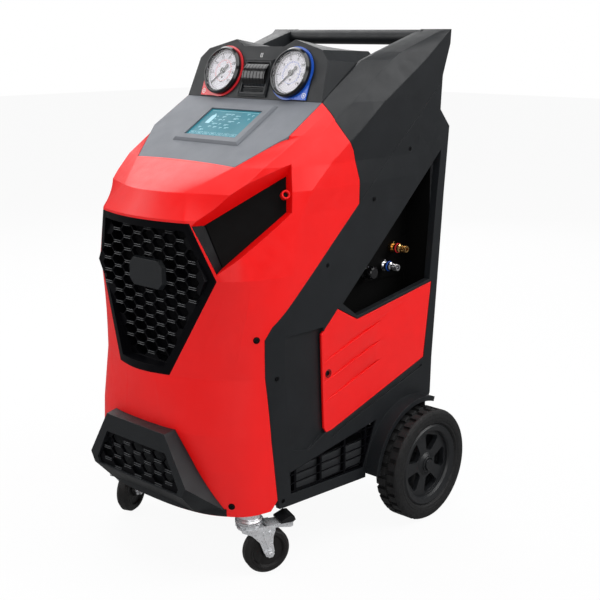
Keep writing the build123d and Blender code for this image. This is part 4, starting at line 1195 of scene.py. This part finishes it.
@dataclass
class SideCover:
    """Red side cover with three ramps, each ending in a sharp step that faces up."""

    outline: tuple[Pair, ...] = ((-16.4, 515.5), (45, 482.9), (294.9, 521.8), (275.1, 351.7), (-28.3, 262),
                                 (-45.5, 260.1), (-54, 272.3), (-65, 471.7))
    thickness: float = 4.9
    back_x: float = 234.6
    lean: float = 0.0105
    foot_z: float = 118.0
    low_ends: tuple[Pair, ...] = ((-54.8, 411.8), (-53.2, 369.3), (-51.5, 326.9))
    run: Pair = (179.0, 53.8)
    ramp_width: float = 25.0
    ramp_depth: float = 4.4
    stations: tuple[Trio, ...] = (
        (0.0, 1.0, 0.35), (0.25, 0.86, 0.6), (0.5, 0.66, 0.85), (0.75, 0.40, 1.0), (0.9, 0.20, 0.85),
        (1.0, 0.02, 0.15))
    screw: Pair = (-43.0, 386.0)
    cup_radius: float = 7.0
    cup_depth: float = 3.9
    rim: float = 0.9
    lip: float = 0.4
    above: float = 2.0

    def build(self) -> None:
        """Model the cover and put it in place of the plain ones."""
        cover = plate(self.outline, self.thickness, self.rim)
        for start in self.low_ends:
            carve(cover, self.ramp(start))
        radius, floor, top = self.cup_radius, -self.cup_depth, 5.0
        cup = turned([(0, floor), (radius, floor), (radius, top), (0, top)], 40)
        carve(cover, place(cup, shift(*self.screw, self.thickness)))
        foot = (self.back_x - self.lean * self.foot_z) * MM
        place(cover, Matrix(((0, self.lean, 1, foot), (1, 0, 0, 0), (0, 1, 0, 0), (0, 0, 0, 1))))
        smooth(cover, 20)
        for piece, side in zip(fit_pair(cover, "side_cover", RED_COVER), ("right", "left")):
            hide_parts(f"side_panel_{side}")

    def ramp(self, start: Pair) -> Piece:
        """Model one wedge that cuts a ramp, from its low front end to its sharp rear tip.

        Args:
            start: the front end of its lower edge.

        Returns:
            The cutter.
        """
        length, rise = self.run
        _, wide, deep = self.stations[0]
        wide, deep, lip = self.ramp_width * wide, self.ramp_depth * deep, self.lip * deep
        cutter = plate([(0, -deep), (wide, lip), (wide, self.above), (0, self.above)], 0.01)
        edit(cutter)
        pick_faces(cutter, faces_up)
        for (t0, wide0, deep0), (t1, wide1, deep1) in zip(self.stations[:-1], self.stations[1:]):
            pull(mm(rise * (t1 - t0), 0, length * (t1 - t0)))
            bpy.ops.transform.resize(value=(wide1 / wide0, deep1 / deep0, 1),
                                     center_override=mm(rise * t1, 0, length * t1))
        done()
        return place(cutter, frame_at(mm(*start, self.thickness), (1, 0, 0), (0, 1, 0)))


@dataclass
class BumperLip:
    """Return flange of the bumper that follows the cover's lower edge."""

    half: float = 190.0
    low: float = 137.0
    high: float = 152.0
    start_y: float = -420.0
    stand_off: float = 1.4

    def build(self) -> None:
        """Lay a strip on the cover and give it its thickness."""
        strip = begin(bpy.ops.mesh.primitive_grid_add, x_subdivisions=24, y_subdivisions=3, size=1.0)
        edit(strip, action="SELECT")
        bpy.ops.transform.resize(value=(2 * self.half * MM, (self.high - self.low) * MM, 1))
        done()
        place(strip, frame_at(mm(0, self.start_y, (self.low + self.high) / 2), (0, -1, 0), (1, 0, 0)))
        apply(strip, "SHRINKWRAP", target=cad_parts["front_cover"], wrap_method="PROJECT",
              use_project_y=True, use_positive_direction=True, offset=0.0)
        apply(strip, "SOLIDIFY", thickness=self.stand_off * MM, offset=1.0)
        smooth(strip, 40)
        fit(strip, "bumper_lip", BLACK_COVER)


@dataclass
class FrameEnds:
    """Lower end of each wheel arch lip, and the folded side edges of the rear panel."""

    arch_radii: Pair = (138.0, 149.0)
    arch_span: Pair = (170.0, 177.0)
    arch_x: Pair = (230.0, 274.0)
    axle: Pair = (229.0, 125.0)
    flange: tuple[Pair, ...] = ((305, 690), (320, 872), (305, 872))
    flange_x: float = 227.2

    def build(self) -> None:
        """Fit both pairs."""
        first, last = self.arch_span
        turns = [math.radians(first + (last - first) * i / 4) for i in range(5)]
        inner, outer = ([(r * math.cos(a), r * math.sin(a)) for a in turns] for r in self.arch_radii)
        near, far = self.arch_x
        lip = place(plate(inner + outer[::-1], far - near, 1.0), outward(mm(near, *self.axle)))
        fit_pair(lip, "arch_end", BLACK_COVER)
        fit_pair(place(plate(self.flange, 1.5), outward(mm(self.flange_x, 0))), "rear_fold", STEEL)


@dataclass
class MeshHighlightLines:
    """Paired raised lines along the level walls of a hexagon mesh, in a lighter grey that paints the
    highlights on the walls' edges.
    """

    node: str
    centre_z: float
    front_y: float
    hidden_by: str = ""
    pitch: Pair = (32.0, 25.0)
    columns: int = 6
    rows: int = 9
    length: float = 21.0
    section: Pair = (3.0, 1.3)
    sunk: float = 0.6
    apart: float = 2.0

    def build(self) -> None:
        """Find the level walls and fit the lines."""
        spots = []
        for col in range(-self.columns, self.columns + 1):
            for row in range(-self.rows, self.rows + 1):
                x = col * self.pitch[0]
                z = self.centre_z + (row + (col % 2) / 2 + 0.5) * self.pitch[1]
                if self.is_wall(x, z):
                    spots += [shift(x, self.front_y - self.sunk, z + dz) for dz in (-self.apart, self.apart)]
        line = bar((self.length, *self.section), round_edge=0.5)
        # The lines wear the lighter grey, a painted highlight on the mesh.
        fit(repeat(line, spots), f"{self.node}_lines", MESH_HIGHLIGHT_GREY)

    def is_wall(self, x: float, z: float) -> bool:
        """Whether a level wall with a hole beside it lies there in plain view."""
        reach = self.length / 2
        solid = all(self.at_front(x + dx, z) for dx in (-reach, 0, reach))
        hole = any(not self.at_front(x, z + dz) for dz in (-self.pitch[1] / 2, self.pitch[1] / 2))
        return solid and hole

    def at_front(self, x: float, z: float) -> bool:
        """Whether the mesh's front face lies there, with nothing before it."""
        start, ahead = mm(x, -600, z), Vector((0, 1, 0))
        if self.hidden_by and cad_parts[self.hidden_by].ray_cast(start, ahead)[0]:
            return False
        hit, point, _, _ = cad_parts[self.node].ray_cast(start, ahead)
        return hit and abs(point.y / MM - self.front_y) < 0.6


@dataclass(frozen=True)
class SoftBox:
    """A square area lamp that looks at the machine: name, place, side and power."""

    name: str
    at: Trio
    size: float
    power: float


@dataclass
class Studio:
    """Pale floor, soft light and the camera at the photograph's place."""

    camera_place: Trio = (1.6561, -1.63205, 1.0569)
    camera_yaw: float = 0.75406
    camera_pitch: float = 0.23899
    lens: float = 66.0
    sensor: float = 36.0
    floor_size: float = 30.0
    floor_colour: Trio = (0.72, 0.72, 0.73)
    floor_glow: float = 0.94
    floor_gloss: float = 0.22
    world_strength: float = 0.27
    world_gloss: float = 0.11
    aim: Trio = (0, 0, 0.55)
    lamps: tuple[SoftBox, ...] = (
        SoftBox("top_box", (-2.3, 0.6, 2.9), 2.4, 54.0),
        SoftBox("nose_box", (-2.7, -2.3, 2.0), 2.2, 52.0),
        SoftBox("over_box", (0.9, -0.2, 3.4), 2.4, 56.0),
        SoftBox("wing_box", (2.4, 1.7, 2.4), 2.0, 56.0),
        SoftBox("back_box", (-2.2, 2.9, 1.7), 2.0, 36.0),
        SoftBox("fill_box", (2.9, -2.7, 1.9), 2.4, 44.0))

    def build(self) -> None:
        """Set the camera, the floor, the lamps and the world."""
        bpy.context.scene.view_settings.view_transform = "Standard"
        self.add_camera()
        self.add_floor()
        self.add_lamps()
        self.set_world()

    def add_camera(self) -> None:
        """Place the camera."""
        data = bpy.data.cameras.new("camera")
        data.sensor_width = self.sensor
        data.lens = self.lens
        data.clip_end = 100.0
        obj = bpy.data.objects.new("camera", data)
        obj.location = self.camera_place
        obj.rotation_euler = (math.pi / 2 - self.camera_pitch, 0, self.camera_yaw)
        bpy.context.scene.collection.objects.link(obj)
        bpy.context.scene.camera = obj

    def add_floor(self) -> None:
        """Lay the pale floor, which stays white to the camera and keeps the shadow."""
        floor = begin(bpy.ops.mesh.primitive_plane_add, size=self.floor_size)
        floor.name = "floor"
        shader = Shader("floor_paint")
        tree = shader.tree
        shader.vary(self.floor_colour, 0.01, 400 * MM)
        shader.put("Roughness", 0.9)
        shader.put("Specular IOR Level", 0.1)
        rays = add_node(tree, "ShaderNodeLightPath").outputs
        seen = add_node(tree, "ShaderNodeMath", operation="MAXIMUM")
        shader.join(rays["Is Camera Ray"], seen.inputs[0])
        shader.join(rays["Is Transmission Ray"], seen.inputs[1])
        share = add_node(tree, "ShaderNodeMath", {1: self.floor_glow}, operation="MULTIPLY")
        shader.join(seen.outputs[0], share.inputs[0])
        glow, sheen = (self.white(tree, "ShaderNodeEmission", strength)
                       for strength in (1.0, self.floor_gloss))
        light = choose(tree, share.outputs[0], shader.surface.outputs[0], glow)
        light = choose(tree, rays["Is Glossy Ray"], light, sheen)
        shader.join(light, tree.nodes["Material Output"].inputs["Surface"])
        floor.data.materials.append(shader.material)

    def add_lamps(self) -> None:
        """Hang the soft boxes."""
        for lamp in self.lamps:
            data = bpy.data.lights.new(lamp.name, "AREA")
            data.size = lamp.size
            data.energy = lamp.power
            obj = bpy.data.objects.new(lamp.name, data)
            obj.location = lamp.at
            gaze = Vector(self.aim) - Vector(lamp.at)
            obj.rotation_euler = gaze.to_track_quat("-Z", "Y").to_euler()
            bpy.context.scene.collection.objects.link(obj)

    def set_world(self) -> None:
        """Fill the world with even light, white to the camera and dimmer in reflections."""
        world = bpy.data.worlds.new("studio")
        world.use_nodes = True
        tree = world.node_tree
        tree.nodes.clear()
        rays = add_node(tree, "ShaderNodeLightPath").outputs
        light = self.white(tree, "ShaderNodeBackground", self.world_strength)
        for ray, strength in (("Is Glossy Ray", self.world_gloss), ("Is Camera Ray", 1.0),
                              ("Is Transmission Ray", 1.0)):
            light = choose(tree, rays[ray], light, self.white(tree, "ShaderNodeBackground", strength))
        out = add_node(tree, "ShaderNodeOutputWorld")
        tree.links.new(light, out.inputs["Surface"])
        bpy.context.scene.world = world

    def white(self, tree: bpy.types.NodeTree, kind: str, strength: float) -> Socket:
        """White light of the given strength, from a node of the given kind."""
        return add_node(tree, kind, {"Color": (1, 1, 1, 1), "Strength": strength}).outputs[0]


def main() -> None:
    """Build the machine's looks, assembly by assembly."""
    logging.basicConfig(level=logging.INFO, format="%(message)s")
    Studio().build()
    Carcass().build()
    CoverScrews().build()
    GaugeFace("high", ("0", "5", "10", "15", "20", "25", "30", "35"), DIAL_RED).build()
    GaugeFace("low", ("0", "2", "4", "6", "8", "10", "12", "14"), DIAL_BLUE).build()
    FlagMark("high", -1).build()
    FlagMark("low", 1).build()
    ScreenPage().build()
    PanelMarks().build()
    for side in Side:
        CasterTrim(side).build()
        WheelTrim(side).build()
    PortTrim().build()
    RearDetails().build()
    SideCover().build()
    BumperLip().build()
    FrameEnds().build()
    MeshHighlightLines("front_grille", 600.0, -300.0, "badge_plate").build()
    MeshHighlightLines("bumper_grille", 224.0, -345.0).build()


if __name__ == "__main__":
    main()
